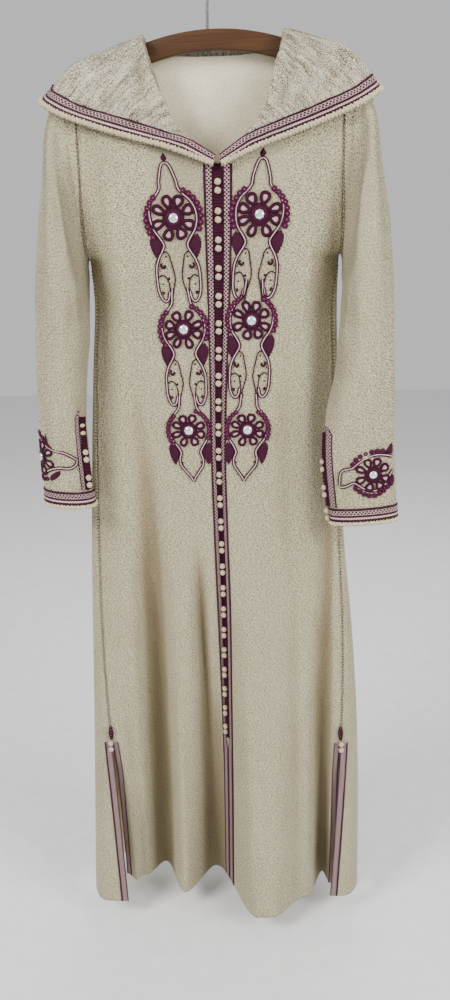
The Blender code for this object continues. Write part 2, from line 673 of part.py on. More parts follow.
def build_placket(fronts):
    heights = -fronts[1][:, 0, 2]
    last = FIRST_PAIR + (BUTTON_PAIRS - 1) * PAIR_PITCH + 0.02
    for side in (-1, 1):
        grid = pull_in(fronts[side][:, 1:3], 4 * GAP)
        laid_on("placket_braid_" + side_name(side), grid, GAP, BRAIDED, flip=side < 0)
    closed = np.flatnonzero(heights < last)
    middle = (fronts[-1][closed, :1] + fronts[1][closed, :1]) / 2
    strip = np.concatenate([fronts[-1][closed, 1:2], middle, fronts[1][closed, 1:2]], 1)
    laid_on("placket_loops", strip, 2 * GAP, PURPLE)
    mesh = knot_pair_mesh()
    for i in range(BUTTON_PAIRS):
        down = FIRST_PAIR + i * PAIR_PITCH
        x = float(read(PLACKET, "down", "line", down))
        high, face, low = (knot_seat(x, d) for d in (down - KNOT_APART, down, down + KNOT_APART))
        y = min(face, (high + low) / 2) - GAP - KNOT_DEPTH
        lean = math.atan2(low - high, 2 * KNOT_APART)
        knot_pair(f"button_pair_{i + 1:02d}", mesh, (x, y, -down), lean=lean)
    return mesh


def pull_in(grid, gap):
    """A two-column grid with its first column moved a gap towards its second."""
    grid = grid.copy()
    step = grid[:, 1] - grid[:, 0]
    grid[:, 0] += step * gap / np.linalg.norm(step, axis=1, keepdims=True)
    return grid


def build_slits(fronts, back, mesh):
    for side in (-1, 1):
        name = side_name(side)
        heights = -fronts[side][:, -1, 2]
        rows = np.flatnonzero(heights > SLIT_TOP - 0.001)
        laid_on("slit_braid_front_" + name, fronts[side][rows][:, -2:], GAP, BRAIDED, flip=side < 0)
        edge = back[rows][:, :3] if side < 0 else back[rows][:, -3:]
        laid_on("slit_braid_back_" + name, edge, GAP, BRAIDED, flip=True)
        x, y = float(seam_x(side, SLIT_TOP)), float(seam_y(side, SLIT_TOP))
        out = BRAID + 2 * GAP + SLIT_KNOT_OUT[side] * KNOT_RADIUS
        knot_pair("slit_knot_" + name, mesh, (x, y - out, -SLIT_TOP - 0.006))


def build_sleeves(mesh):
    """Each sleeve with its cuff braid, the strip of loops along its cuff slit and the knots on the strip."""
    for side in (-1, 1):
        name, flip = side_name(side), side > 0
        grid = sleeve_grid(side)
        cloth("sleeve_" + name, grid, CLOTH, wrap=True, flip=flip)
        outside = moved_out(grid, GAP, wrap=True, flip=flip)
        first, last = CUFF_STRIP
        around = np.arange(last, first + 1 + grid.shape[1]) % grid.shape[1]
        cloth("cuff_band_" + name, outside[-2:][:, around], BRAIDED, flip=flip, wall=BRAID, grow=1.0)
        strip = pull_in(outside[-CUFF_STRIP_ROWS:, first:last + 1], 3 * GAP)
        strip = pull_in(strip[:, ::-1], 3 * GAP)[:, ::-1]
        cloth("cuff_loops_" + name, strip, PURPLE, flip=flip, wall=BRAID, grow=1.0)
        face = moved_out(grid, 2 * GAP + BRAID + CUFF_KNOT_OUT[side] * KNOT_RADIUS, wrap=True, flip=flip)
        line = np.array([[np.interp(CUFF_KNOT_COLUMN[side], range(len(row)), row[:, k]) for k in range(3)]
                         for row in face[-CUFF_STRIP_ROWS:]])
        for i, down in enumerate(CUFF_KNOTS[side]):
            high, low = ([np.interp(d, -line[:, 2], line[:, k]) for k in range(2)]
                         for d in (down - KNOT_APART, down + KNOT_APART))
            tilt = math.atan2(high[0] - low[0], 2 * KNOT_APART)
            middle = ((high[0] + low[0]) / 2, (high[1] + low[1]) / 2, -down)
            knot_pair(f"cuff_knot_{name}_{i + 1}", mesh, middle, tilt)


def build_hood():
    grid = hood_grid()
    cloth("hood", grid, CLOTH)
    laid_on("hood_trim", grid[:, -3:], GAP, BRAIDED)


for old in list(bpy.data.objects):
    bpy.data.objects.remove(old)
PARTS = bpy.data.collections.new("djellaba")
CUTTERS = bpy.data.collections.new("cutters")
bpy.context.scene.collection.children.link(PARTS)
bpy.context.scene.collection.children.link(CUTTERS)
CLOTH = material("cream cloth", (0.62, 0.55, 0.41), 0.7)
BRAIDED = material("pink and purple braid", (0.36, 0.16, 0.26), 0.6)
PURPLE = material("purple thread", (0.12, 0.012, 0.06), 0.5)
CREAM_CORD = material("cream cord", (0.66, 0.60, 0.48), 0.6)
WOOD = material("varnished wood", (0.20, 0.09, 0.035), 0.4)
METAL = material("dark wire", (0.08, 0.08, 0.085), 0.35, 1.0)

FRONTS, BACK = build_body()
KNOT = build_placket(FRONTS)
build_slits(FRONTS, BACK, KNOT)
build_sleeves(KNOT)
build_hood()
hanger_bar()
hanger_hook()
for i in range(6):
    label = side_name(MEDALLIONS["column"][i])
    medallion(f"medallion_{label}_{i % 3 + 1}", *(float(MEDALLIONS[c][i]) for c in ("x", "down", "radius")))
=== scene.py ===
"""The looks of a woman's hooded djellaba on an arched wooden hanger, with its braids, cords and knots.

Metres, +Z up, the front faces -Y. The origin is the inside top of the hanger's hook, and "down" is
metres below it. A side is -1 for the left and 1 for the right, as seen from the front.
"""
import math

import bpy
import numpy as np
from mathutils import Matrix, Vector


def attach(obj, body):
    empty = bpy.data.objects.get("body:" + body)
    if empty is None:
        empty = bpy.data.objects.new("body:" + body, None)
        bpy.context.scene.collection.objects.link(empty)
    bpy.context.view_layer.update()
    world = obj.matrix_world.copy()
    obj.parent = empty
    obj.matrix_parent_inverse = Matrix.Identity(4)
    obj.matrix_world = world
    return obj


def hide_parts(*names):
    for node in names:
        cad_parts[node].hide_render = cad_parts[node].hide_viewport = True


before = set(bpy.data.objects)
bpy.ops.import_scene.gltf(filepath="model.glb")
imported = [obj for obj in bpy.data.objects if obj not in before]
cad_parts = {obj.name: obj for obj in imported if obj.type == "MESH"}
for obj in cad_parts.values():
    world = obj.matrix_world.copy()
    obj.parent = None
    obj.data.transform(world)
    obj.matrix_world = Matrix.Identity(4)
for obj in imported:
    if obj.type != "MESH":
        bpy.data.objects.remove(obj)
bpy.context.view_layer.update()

# Driving sizes, as in the solids
WALL = 0.0015
GAP = 0.0003
HEM = 1.556
UNDERARM = 0.396
FULL_ROWS_FROM = 0.43
SLIT_TOP = 1.222
BAR_CENTRE = 0.008
BAR_TOP = 0.090
BAR_DROP = 1.5
BAR_HALF = 0.186
BAR_HEIGHT = 0.027
BAR_THICK = 0.012
SHOULDER_LIFT = 0.0021
HOOK_WIRE = 0.002
HOOK_INNER = 0.018
NECK_CENTRE = 0.012
NECK_HALF = 0.099
NECK_DIP = 0.004
NECK_DIP_WIDE = 0.024
ARMHOLE_X = 0.19
ARMHOLE_DEEP = 0.028
ARMHOLE_POWER = 0.3
SHOULDER_ROUND = 0.010
SEAM_BLEND = 0.045
SLIT_BRAID = 0.011
SEAM_TURN = 0.003
TURN_GROWS = 0.05
SIDE_FRONT = 0.035
SIDE_BACK = 0.030
SIDE_LEAST = 0.0005
BUTTON_PAIRS = 24
FIRST_PAIR = 0.301
PAIR_PITCH = 0.03935
KNOT_RADIUS = 0.0046
KNOT_APART = 0.0118


def table(columns, *rows):
    """A dictionary from column name to the column's values, one for each row."""
    return {name: np.array([row[i] for row in rows]) for i, name in enumerate(columns.split())}


# Both outlines of the hanging body, and how far its faces stand from the hanger's plane
BODY = table(
    "down left_seam left_out right_seam right_out front back",
    (0.100, -0.1900, -0.1900, 0.1900, 0.1900, -0.014, 0.015),
    (0.150, -0.1900, -0.1900, 0.1900, 0.1900, -0.018, 0.019),
    (0.200, -0.1900, -0.1900, 0.1900, 0.1900, -0.028, 0.027),
    (0.270, -0.1900, -0.1900, 0.1900, 0.1900, -0.038, 0.037),
    (0.392, -0.1900, -0.1905, 0.1900, 0.1905, -0.0435, 0.044),
    (0.450, -0.1810, -0.1880, 0.1810, 0.1890, -0.0438, 0.045),
    (0.550, -0.1860, -0.1950, 0.1820, 0.1910, -0.0432, 0.045),
    (0.650, -0.1920, -0.2040, 0.1850, 0.1950, -0.0420, 0.045),
    (0.850, -0.2010, -0.2204, 0.1960, 0.2070, -0.0395, 0.047),
    (1.000, -0.2060, -0.2300, 0.2040, 0.2230, -0.0370, 0.050),
    (1.160, -0.2050, -0.2400, 0.2060, 0.2360, -0.0340, 0.055),
    (1.365, -0.1960, -0.2520, 0.2000, 0.2450, -0.0310, 0.063),
    (1.556, -0.1886, -0.2630, 0.1920, 0.2490, -0.0300, 0.072),
)

# The side seams' depth below the underarm, and how far the front's free edge tucks in along the side slits
SEAM = table(
    "down left right",
    (0.392, 0.000, 0.000),
    (0.450, -0.010, -0.010),
    (0.550, -0.022, -0.020),
    (0.650, -0.027, -0.024),
    (0.850, -0.030, -0.028),
    (1.220, -0.036, -0.031),
    (1.365, -0.044, -0.031),
    (1.556, -0.055, -0.031),
)
TUCK = {-1: 0.070, 1: 0.036}
LAP = {-1: 0.020, 1: 0.014}

# The placket: its line, the half width of its loop strip and of the whole with its braids, and its groove
PLACKET = table(
    "down line loops braids groove",
    (0.270, 0.0120, 0.0075, 0.0186, 0.000),
    (0.388, 0.0106, 0.0070, 0.0168, 0.001),
    (0.495, 0.0082, 0.0062, 0.0140, 0.004),
    (0.592, 0.0051, 0.0052, 0.0118, 0.007),
    (0.695, 0.0025, 0.0047, 0.0106, 0.009),
    (0.804, 0.0031, 0.0047, 0.0104, 0.010),
    (0.948, 0.0050, 0.0047, 0.0104, 0.010),
    (1.148, 0.0050, 0.0040, 0.0090, 0.009),
    (1.280, 0.0045, 0.0034, 0.0084, 0.006),
    (1.556, 0.0007, 0.0030, 0.0080, 0.000),
)
GROOVE_HALF = 0.013

# Folds of the front: each ridge (negative) or valley, where it stands high up and at the hem
FRONT_FOLDS = table(
    "high_x hem_x depth starts",
    (-0.180, -0.186, 0.000, 1.20),
    (-0.150, -0.166, 0.040, 1.00),
    (-0.110, -0.131, 0.080, 0.58),
    (-0.060, -0.084, 0.000, 0.70),
    (-0.004, -0.027, 0.070, 0.86),
    (0.040, 0.056, -0.057, 0.80),
    (0.085, 0.082, -0.055, 0.80),
    (0.135, 0.146, -0.005, 0.95),
    (0.174, 0.181, 0.045, 0.60),
    (0.186, 0.194, 0.000, 1.20),
)
BACK_FOLDS = table(
    "high_x hem_x depth starts",
    (-0.165, -0.205, 0.000, 0.60),
    (-0.120, -0.133, 0.022, 0.60),
    (-0.072, -0.078, -0.024, 0.55),
    (-0.028, -0.026, 0.022, 0.75),
    (0.030, 0.040, -0.022, 0.60),
    (0.085, 0.098, 0.018, 0.70),
    (0.130, 0.155, -0.022, 0.60),
    (0.165, 0.205, 0.000, 0.60),
)
FOLDS_HIGH = 0.60
FOLD_GROWTH = 1.35

# The front neckline, half width against height, and the back neckline
NECK = table("half down", (0.000, 0.270), (0.020, 0.257), (0.045, 0.234), (0.063, 0.212),
             (0.076, 0.180), (0.087, 0.148), (0.099, 0.112))
BACK_NECK = table("half down", (0.000, 0.1205), (0.040, 0.1195), (0.070, 0.1165), (0.099, 0.1060))

# The sleeves: each loop's outer and inner point, the depth of its middle, its half depth,
# and how far its front laps over the body
SLEEVE = {
    -1: table(
        "out_x out_down in_x in_down middle deep lap",
        (-0.2090, 0.156, -0.1930, 0.400, 0.000, 0.030, 0.000),
        (-0.2280, 0.177, -0.1945, 0.410, -0.002, 0.042, 0.000),
        (-0.2410, 0.222, -0.1945, 0.427, -0.006, 0.054, 0.004),
        (-0.2500, 0.290, -0.1940, 0.450, -0.014, 0.054, 0.008),
        (-0.2620, 0.380, -0.1930, 0.490, -0.026, 0.048, 0.010),
        (-0.2700, 0.470, -0.1970, 0.550, -0.038, 0.042, 0.007),
        (-0.2745, 0.570, -0.2025, 0.610, -0.046, 0.036, 0.002),
        (-0.2760, 0.660, -0.2030, 0.670, -0.050, 0.032, 0.000),
        (-0.2775, 0.768, -0.1980, 0.774, -0.050, 0.030, 0.000),
    ),
    1: table(
        "out_x out_down in_x in_down middle deep lap",
        (0.2070, 0.147, 0.1930, 0.400, 0.000, 0.030, 0.000),
        (0.2260, 0.169, 0.1945, 0.410, -0.002, 0.042, 0.000),
        (0.2390, 0.215, 0.1945, 0.427, -0.008, 0.052, 0.004),
        (0.2500, 0.285, 0.1940, 0.450, -0.018, 0.050, 0.008),
        (0.2620, 0.380, 0.1900, 0.495, -0.034, 0.042, 0.012),
        (0.2670, 0.470, 0.1830, 0.560, -0.052, 0.032, 0.006),
        (0.2690, 0.580, 0.1700, 0.620, -0.066, 0.025, 0.000),
        (0.2730, 0.680, 0.1670, 0.690, -0.069, 0.021, 0.000),
        (0.2815, 0.795, 0.1790, 0.802, -0.067, 0.020, 0.000),
    ),
}
SLEEVE_SPANS = 8
CUFF_BAND = 0.030
CUFF_STRIP_TURN = {-1: 118, 1: 132}
CUFF_KNOTS = {-1: (0.646, 0.688, 0.729), 1: (0.706, 0.747, 0.785)}
CUFF_KNOT_COLUMN = {-1: 6.6, 1: 7.85}

# The hood's cross sections from the neck's V round to the centre back. Each runs from the neck seam
# over the roll and two more points to the rim, in half width, depth and height
HOOD = table(
    "neck_h neck_y neck_d roll_h roll_y roll_d a_h a_y a_d b_h b_y b_d rim_h rim_y rim_d",
    (0.004, -0.0415, 0.266, 0.003, -0.0445, 0.261, 0.004, -0.0470, 0.266, 0.005, -0.0470, 0.270,
     0.006, -0.0460, 0.275),
    (0.039, -0.0385, 0.244, 0.037, -0.0420, 0.236, 0.046, -0.0455, 0.239, 0.054, -0.0455, 0.245,
     0.062, -0.0440, 0.252),
    (0.066, -0.0345, 0.215, 0.063, -0.0385, 0.206, 0.079, -0.0430, 0.213, 0.094, -0.0435, 0.224,
     0.108, -0.0425, 0.238),
    (0.094, -0.0225, 0.152, 0.088, -0.0280, 0.143, 0.113, -0.0370, 0.166, 0.138, -0.0405, 0.194,
     0.162, -0.0405, 0.221),
    (0.104, -0.0210, 0.113, 0.098, -0.0200, 0.104, 0.131, -0.0250, 0.126, 0.170, -0.0320, 0.160,
     0.210, -0.0385, 0.203),
    (0.107, -0.0020, 0.0985, 0.101, -0.0020, 0.0945, 0.143, -0.0080, 0.109, 0.195, -0.0160, 0.131,
     0.240, -0.0220, 0.185),
    (0.107, 0.0040, 0.0995, 0.101, 0.0050, 0.095, 0.145, 0.0050, 0.109, 0.199, 0.0050, 0.131,
     0.246, 0.0010, 0.174),
    (0.104, 0.0150, 0.106, 0.098, 0.0165, 0.099, 0.141, 0.0190, 0.117, 0.196, 0.0200, 0.140,
     0.243, 0.0150, 0.166),
    (0.092, 0.0181, 0.120, 0.090, 0.0240, 0.108, 0.130, 0.0370, 0.160, 0.180, 0.0430, 0.185,
     0.228, 0.0340, 0.160),
    (0.072, 0.0184, 0.125, 0.071, 0.0250, 0.1135, 0.100, 0.0480, 0.240, 0.130, 0.0640, 0.280,
     0.186, 0.0500, 0.158),
    (0.048, 0.0184, 0.127, 0.048, 0.0255, 0.1155, 0.062, 0.0580, 0.335, 0.078, 0.0770, 0.380,
     0.128, 0.0620, 0.156),
    (0.024, 0.0184, 0.128, 0.024, 0.0260, 0.1160, 0.030, 0.0630, 0.410, 0.038, 0.0840, 0.455,
     0.064, 0.0690, 0.160),
    (0.000, 0.0184, 0.128, 0.000, 0.0262, 0.1162, 0.000, 0.0650, 0.440, 0.000, 0.0870, 0.485,
     0.000, 0.0720, 0.163),
)
HOOD_SKEW = 0.24
HOOD_TRIM = 0.030

# Medallions of the chest: centre and radius
MEDALLIONS = table("column x down radius",
                   (-1, -0.0540, 0.342, 0.038), (-1, -0.0450, 0.500, 0.034), (-1, -0.0430, 0.655, 0.031),
                   (1, 0.0710, 0.340, 0.038), (1, 0.0575, 0.489, 0.034), (1, 0.0490, 0.655, 0.031))


def ease(t):
    """Smooth step from 0 to 1 with level ends."""
    t = np.clip(t, 0.0, 1.0)
    return t * t * (3.0 - 2.0 * t)


def read(tab, key, column, where):
    """A table's column as a smooth curve through its rows, by cubic Hermite pieces."""
    x, y = tab[key], tab[column]
    slope = np.gradient(y, x)
    where = np.clip(where, x[0], x[-1])
    i = np.clip(np.searchsorted(x, where) - 1, 0, len(x) - 2)
    step = x[i + 1] - x[i]
    t = (where - x[i]) / step
    rise = y[i + 1] - y[i]
    bend = step * t * (1 - t) * (slope[i] * (1 - t) - slope[i + 1] * t)
    return y[i] + rise * t * t * (3 - 2 * t) + bend


def whole_turn(count):
    """Evenly spread angles round one whole turn."""
    return np.linspace(0, 2 * math.pi, count + 1)[:-1]


def curve_at(points, t):
    """Points of the smooth curve through control points (axis 0), by cubic pieces; t counts controls."""
    points, t = np.asarray(points, float), np.asarray(t, float)
    i = np.clip(t.astype(int), 0, len(points) - 2)
    u = (t - i).reshape(t.shape + (1,) * (points.ndim - 1))
    padded = np.concatenate([[2 * points[0] - points[1]], points, [2 * points[-1] - points[-2]]])
    a, b, c, d = padded[i], padded[i + 1], padded[i + 2], padded[i + 3]
    square, cube = 2 * a - 5 * b + 4 * c - d, 3 * b - a - 3 * c + d
    return 0.5 * (2 * b + (c - a) * u + square * u ** 2 + cube * u ** 3)


def through(points, count):
    """Evenly counted points along the smooth curve through control points."""
    return curve_at(points, np.linspace(0, len(points) - 1, count))


def bar_top(x):
    """The height of the hanger's top below the hook: a parabola about its middle."""
    return BAR_TOP + BAR_DROP * (x - BAR_CENTRE) ** 2


def shoulder(x):
    """The shoulder line's height below the hook: it follows the hanger's top, just clear of it."""
    return bar_top(x) - SHOULDER_LIFT


def armhole_depth(side, down):
    """Half the armhole's depth, a flattened oval from the shoulder's tip to the underarm."""
    top = shoulder(side * ARMHOLE_X)
    t = np.clip((down - top) / (UNDERARM - top), 0, 1)
    return ARMHOLE_DEEP * (4 * t * (1 - t)) ** ARMHOLE_POWER


def side_name(side):
    """The word for a side."""
    return "left" if side < 0 else "right"


def seam_x(side, down):
    """How far across the side seam stands, from the table of the body."""
    return read(BODY, "down", side_name(side) + "_seam", down)


def seam_y(side, down):
    """The side seam's depth: round the armhole's oval above, and from its table below the underarm."""
    armhole = -np.maximum(armhole_depth(side, down), WALL + GAP)
    return np.where(down < UNDERARM, armhole, read(SEAM, "down", side_name(side), down))


def slit_share(down):
    """How far down the side slit a height is, 0 at its top and 1 at the hem."""
    return np.clip((down - SLIT_TOP) / (HEM - SLIT_TOP), 0, 1)


def front_edge(side, down):
    """The front's outer edge: on the seam, then behind the back's edge along the slit."""
    s = slit_share(down)
    x = seam_x(side, down) + side * LAP[side] * np.maximum(0, s - 0.2)
    return x, seam_y(side, down) + TUCK[side] * s


def fold_wave(folds, x, down):
    """Depth of a row of folds: level at each ridge and valley, a smooth step between neighbours."""
    drop = np.clip((down - FOLDS_HIGH) / (HEM - FOLDS_HIGH), 0, 1)
    total = 0.0
    for i in range(len(folds["depth"]) - 1):
        here = folds["high_x"][i] + (folds["hem_x"][i] - folds["high_x"][i]) * drop
        then = folds["high_x"][i + 1] + (folds["hem_x"][i + 1] - folds["high_x"][i + 1]) * drop
        depth = [folds["depth"][k] * np.clip((down - folds["starts"][k]) / (HEM - folds["starts"][k]), 0, 1)
                 ** FOLD_GROWTH for k in (i, i + 1)]
        inside = (x >= here) & (x < then)
        step = ease((x - here) / (then - here))
        total = total + np.where(inside, depth[0] + (depth[1] - depth[0]) * step, 0)
    return total


def front_y(x, down):
    """The front's outer face: flat at chest depth, rounded over the shoulder and into the side seams."""
    crown = np.sqrt(1 - (1 - np.clip((down - shoulder(x)) / SHOULDER_ROUND, 0, 1)) ** 2)
    y = np.minimum(read(BODY, "down", "front", down) * crown, -GAP)
    for side in (-1, 1):
        edge_x, edge_y = front_edge(side, down)
        y = y + (edge_y - y) * ease(1 - (edge_x - x) * side / SEAM_BLEND)
    line = read(PLACKET, "down", "line", down)
    groove = read(PLACKET, "down", "groove", down) * ease(1 - np.abs(x - line) / GROOVE_HALF)
    return y + fold_wave(FRONT_FOLDS, x, down) + groove


def panel_top(x, neck):
    """The top edge of the front or the back: its neckline, a short dip beside it, then the shoulder line."""
    half = np.abs(x - NECK_CENTRE)
    outside = shoulder(x) + NECK_DIP * (1 - ease((half - NECK_HALF) / NECK_DIP_WIDE))
    return np.where(half < NECK_HALF, read(neck, "half", "down", half), outside)


def hood_controls():
    """The hood's control sections from the left of the V round the back to the right of the V."""
    names = ("neck", "roll", "a", "b", "rim")
    half = np.stack([HOOD[n + "_h"] for n in names], 1)
    y = np.stack([HOOD[n + "_y"] for n in names], 1)
    down = np.stack([HOOD[n + "_d"] for n in names], 1)
    skew = NECK_CENTRE * (1 - ease(half / HOOD_SKEW))
    left = np.stack([-half + skew, y, -down], -1)
    right = np.stack([half + skew, y, -down], -1)
    return np.concatenate([left, right[-2::-1]])


def normals(grid, wrap=False):
    """Unit normals of a grid of points: the cross product of its row and column directions."""
    down = np.gradient(grid, axis=0)
    if wrap:
        across = (np.roll(grid, -1, 1) - np.roll(grid, 1, 1)) / 2
    else:
        across = np.gradient(grid, axis=1)
    n = np.cross(down, across)
    return n / np.linalg.norm(n, axis=-1, keepdims=True)


# Sizes of what is sewn, wound and laid on the cloth
CLOTH_WALL = 0.0011
ROW_STEP = 0.0042
CORD_CORE = 0.00100
CORD_SIDE = 0.00105
CORD_APART = 0.00165
PETALS = 8
PETAL_CORD = 0.0026
BEADS = 8
CRYSTAL = 0.0074
STITCH_PITCH = 0.0052
STITCH_LONG = 0.0050
STITCH_RADIUS = 0.00062
EDGING_RADIUS = 0.0030
LATTICE_PITCH = 0.0054
SCALE_PITCH = 0.0058
# Painted shade of the cloth's folds: the fold depth that takes it fully, and its largest share of the colour
SHADE_FULL_DEPTH = 0.006
PAINTED_SHADE_SHARE = 0.55
FLOOR_DOWN = 1.600
HOOD_EDGING = 0.0036
FULL_RADIUS = 0.038
KNOT_SEAT = 0.0016 + 0.9 * KNOT_RADIUS

# Where the placket's loops end, loops to a pair of knots, and how much wider its braids are sewn
LAST_LOOP = FIRST_PAIR + (BUTTON_PAIRS - 1) * PAIR_PITCH + 0.02
LOOPS_A_PAIR = 9
BRAID_SPREAD = 1.14

# The cuffs' slits: the number of loops, the turns in degrees where the strip of loops starts and ends and
# how far it stands up, and the share along the sleeve where it begins and how wide its braid is
CUFF_LOOPS = 26
STRIP_SPLIT = {-1: 146, 1: 170}
STRIP_END = {-1: 176, 1: 206}
LOOPS_PROUD = {-1: 0.0006, 1: 0.0036}
STRIP_TOP = {-1: 0.772, 1: 0.800}
STRIP_WIDE = {-1: 0.5, 1: 0.74}

# Soft creases of the front: from one end to the other, half width, depth (positive goes in)
FRONT_CREASES = table(
    "x0 down0 x1 down1 width depth",
    (0.160, 0.230, 0.152, 0.440, 0.012, 0.0035),
    (0.172, 0.300, 0.170, 0.520, 0.008, -0.0015),
    (-0.168, 0.240, -0.150, 0.470, 0.010, 0.0026),
    (-0.172, 0.420, -0.120, 0.560, 0.012, 0.0018),
    (-0.128, 0.560, -0.112, 0.900, 0.012, 0.0040),
    (-0.120, 0.860, -0.114, 1.480, 0.013, 0.0075),
    (-0.090, 0.720, -0.082, 1.400, 0.014, -0.0036),
    (-0.034, 0.900, -0.033, 1.520, 0.010, 0.0150),
    (-0.058, 0.900, -0.056, 1.480, 0.010, -0.0024),
    (-0.040, 0.760, -0.032, 1.150, 0.010, 0.0018),
    (0.030, 0.700, 0.034, 1.080, 0.012, -0.0020),
    (0.105, 0.560, 0.110, 0.900, 0.014, 0.0020),
    (0.140, 0.500, 0.146, 0.840, 0.010, -0.0016),
    (0.120, 0.900, 0.128, 1.350, 0.012, 0.0024),
    (0.065, 1.000, 0.060, 1.420, 0.010, 0.0016),
    (-0.150, 0.900, -0.158, 1.400, 0.010, -0.0020),
    (-0.060, 1.100, -0.068, 1.500, 0.010, 0.0018),
    (0.020, 0.290, 0.150, 0.262, 0.020, -0.0012),
    (-0.140, 0.300, -0.090, 0.360, 0.018, 0.0010),
)
BACK_CREASES = table(
    "x0 down0 x1 down1 width depth",
    (-0.150, 0.200, -0.120, 0.600, 0.016, -0.0030),
    (-0.060, 0.480, -0.052, 0.980, 0.014, -0.0028),
    (0.020, 0.520, 0.024, 0.860, 0.012, 0.0020),
    (0.070, 0.460, 0.064, 1.050, 0.015, -0.0030),
    (0.140, 0.220, 0.112, 0.640, 0.016, -0.0026),
    (0.110, 0.760, 0.118, 1.300, 0.012, 0.0022),
    (-0.110, 0.800, -0.116, 1.360, 0.012, 0.0022),
    (0.000, 1.000, 0.004, 1.480, 0.012, -0.0022),
    (-0.010, 0.160, 0.060, 0.240, 0.020, -0.0012),
)

# Creases of the sleeves: shares along them, and turns round them in degrees, from the outer side over
# the front. A sleeve's length counts as many degrees as CREASE_SPAN says
SLEEVE_CREASES = table(
    "turn0 share0 turn1 share1 width depth",
    (60, 0.02, 75, 0.45, 16, 0.0030),
    (120, 0.10, 105, 0.60, 14, 0.0026),
    (30, 0.30, 50, 0.85, 14, 0.0020),
    (95, 0.50, 80, 0.95, 12, -0.0018),
    (150, 0.30, 140, 0.52, 16, 0.0034),
    (165, 0.40, 110, 0.56, 12, 0.0024),
    (235, 0.05, 250, 0.60, 18, 0.0034),
    (300, 0.20, 290, 0.80, 16, 0.0028),
    (210, 0.40, 260, 0.55, 14, 0.0030),
)

CREASE_SPAN = 300

# Folds of the hood, fanning from the neck seam: section share, half width, depth, and how far they lean
HOOD_CREASES = table(
    "share width depth lean",
    (0.055, 0.010, 0.0020, 0.010),
    (0.095, 0.008, -0.0022, 0.016),
    (0.125, 0.009, 0.0030, 0.020),
    (0.165, 0.008, -0.0024, 0.018),
    (0.215, 0.012, 0.0034, 0.006),
    (0.265, 0.010, -0.0026, 0.000),
    (0.330, 0.014, 0.0040, -0.010),
    (0.400, 0.012, 0.0036, -0.010),
    (0.465, 0.014, -0.0030, -0.004),
    (0.535, 0.014, 0.0034, 0.004),
    (0.600, 0.012, 0.0036, 0.010),
    (0.670, 0.014, -0.0034, 0.010),
    (0.735, 0.010, 0.0030, 0.000),
    (0.785, 0.012, -0.0028, -0.006),
    (0.835, 0.008, 0.0028, -0.018),
    (0.875, 0.009, -0.0026, -0.020),
    (0.905, 0.008, 0.0022, -0.016),
    (0.945, 0.010, -0.0018, -0.010),
)

# Soft troughs of the flaps that lie in front: from one end to the other, half width and depth
HOOD_TROUGHS = table(
    "x0 down0 x1 down1 width depth",
    (-0.102, 0.118, -0.080, 0.212, 0.0075, 0.0068),
    (-0.130, 0.150, -0.098, 0.215, 0.0075, -0.0024),
    (-0.165, 0.150, -0.135, 0.205, 0.0080, 0.0026),
    (-0.200, 0.160, -0.180, 0.200, 0.0070, 0.0018),
    (0.124, 0.120, 0.098, 0.200, 0.0080, 0.0068),
    (0.158, 0.128, 0.118, 0.190, 0.0070, 0.0032),
    (0.190, 0.140, 0.142, 0.205, 0.0060, 0.0050),
    (0.206, 0.148, 0.178, 0.185, 0.0055, 0.0030),
    (0.172, 0.130, 0.130, 0.200, 0.0055, -0.0022),
)


def along_crease(p, q, ends, width, depth):
    """Depth of one crease at points (p, q): a bell across its line, fading out at both ends of it."""
    p0, q0, p1, q1 = ends
    length2 = (p1 - p0) ** 2 + (q1 - q0) ** 2
    t = ((p - p0) * (p1 - p0) + (q - q0) * (q1 - q0)) / length2
    away = ((p - p0) * (q1 - q0) - (q - q0) * (p1 - p0)) / math.sqrt(length2)
    fade = ease((t + 0.15) / 0.35) * ease((1.15 - t) / 0.35)
    return depth * np.exp(-(away / width) ** 2) * fade


def creases(tab, x, down):
    """Sum of a table's creases, and a low uneven swell, as a depth that goes into the cloth."""
    total = 0.0007 * np.sin(x * 61 + 3 * np.sin(down * 9)) * np.sin(down * 23 + 2 * np.sin(x * 17))
    for row in zip(*tab.values()):
        total = total + along_crease(x, down, row[:4], row[4], row[5])
    return total


def front_face(x, down):
    """The front's outer face with its small creases, held still along the placket and the shoulder."""
    hold = ease((np.abs(x - read(PLACKET, "down", "line", down)) - 0.020) / 0.020)
    hold = hold * ease((down - shoulder(x)) / 0.030)
    for side in (-1, 1):
        hold = hold * ease(np.abs(front_edge(side, down)[0] - x) / 0.020)
    return front_y(x, down) + hold * creases(FRONT_CREASES, x, down)


def front_point(x, down, lift=0.0):
    """Points on the front's face, moved out along the face's own normal by lift."""
    x, down = np.broadcast_arrays(np.asarray(x, float), np.asarray(down, float))
    step = 0.0015
    y = front_face(x, down)
    slope_x = (front_face(x + step, down) - front_face(x - step, down)) / (2 * step)
    slope_d = (front_face(x, down + step) - front_face(x, down - step)) / (2 * step)
    out = np.stack([slope_x, -np.ones_like(y), -slope_d], -1)
    out = out / np.linalg.norm(out, axis=-1, keepdims=True)
    lift = np.broadcast_to(np.asarray(lift, float), y.shape)
    return np.stack([x, y, -down], -1) + out * lift[..., None], out


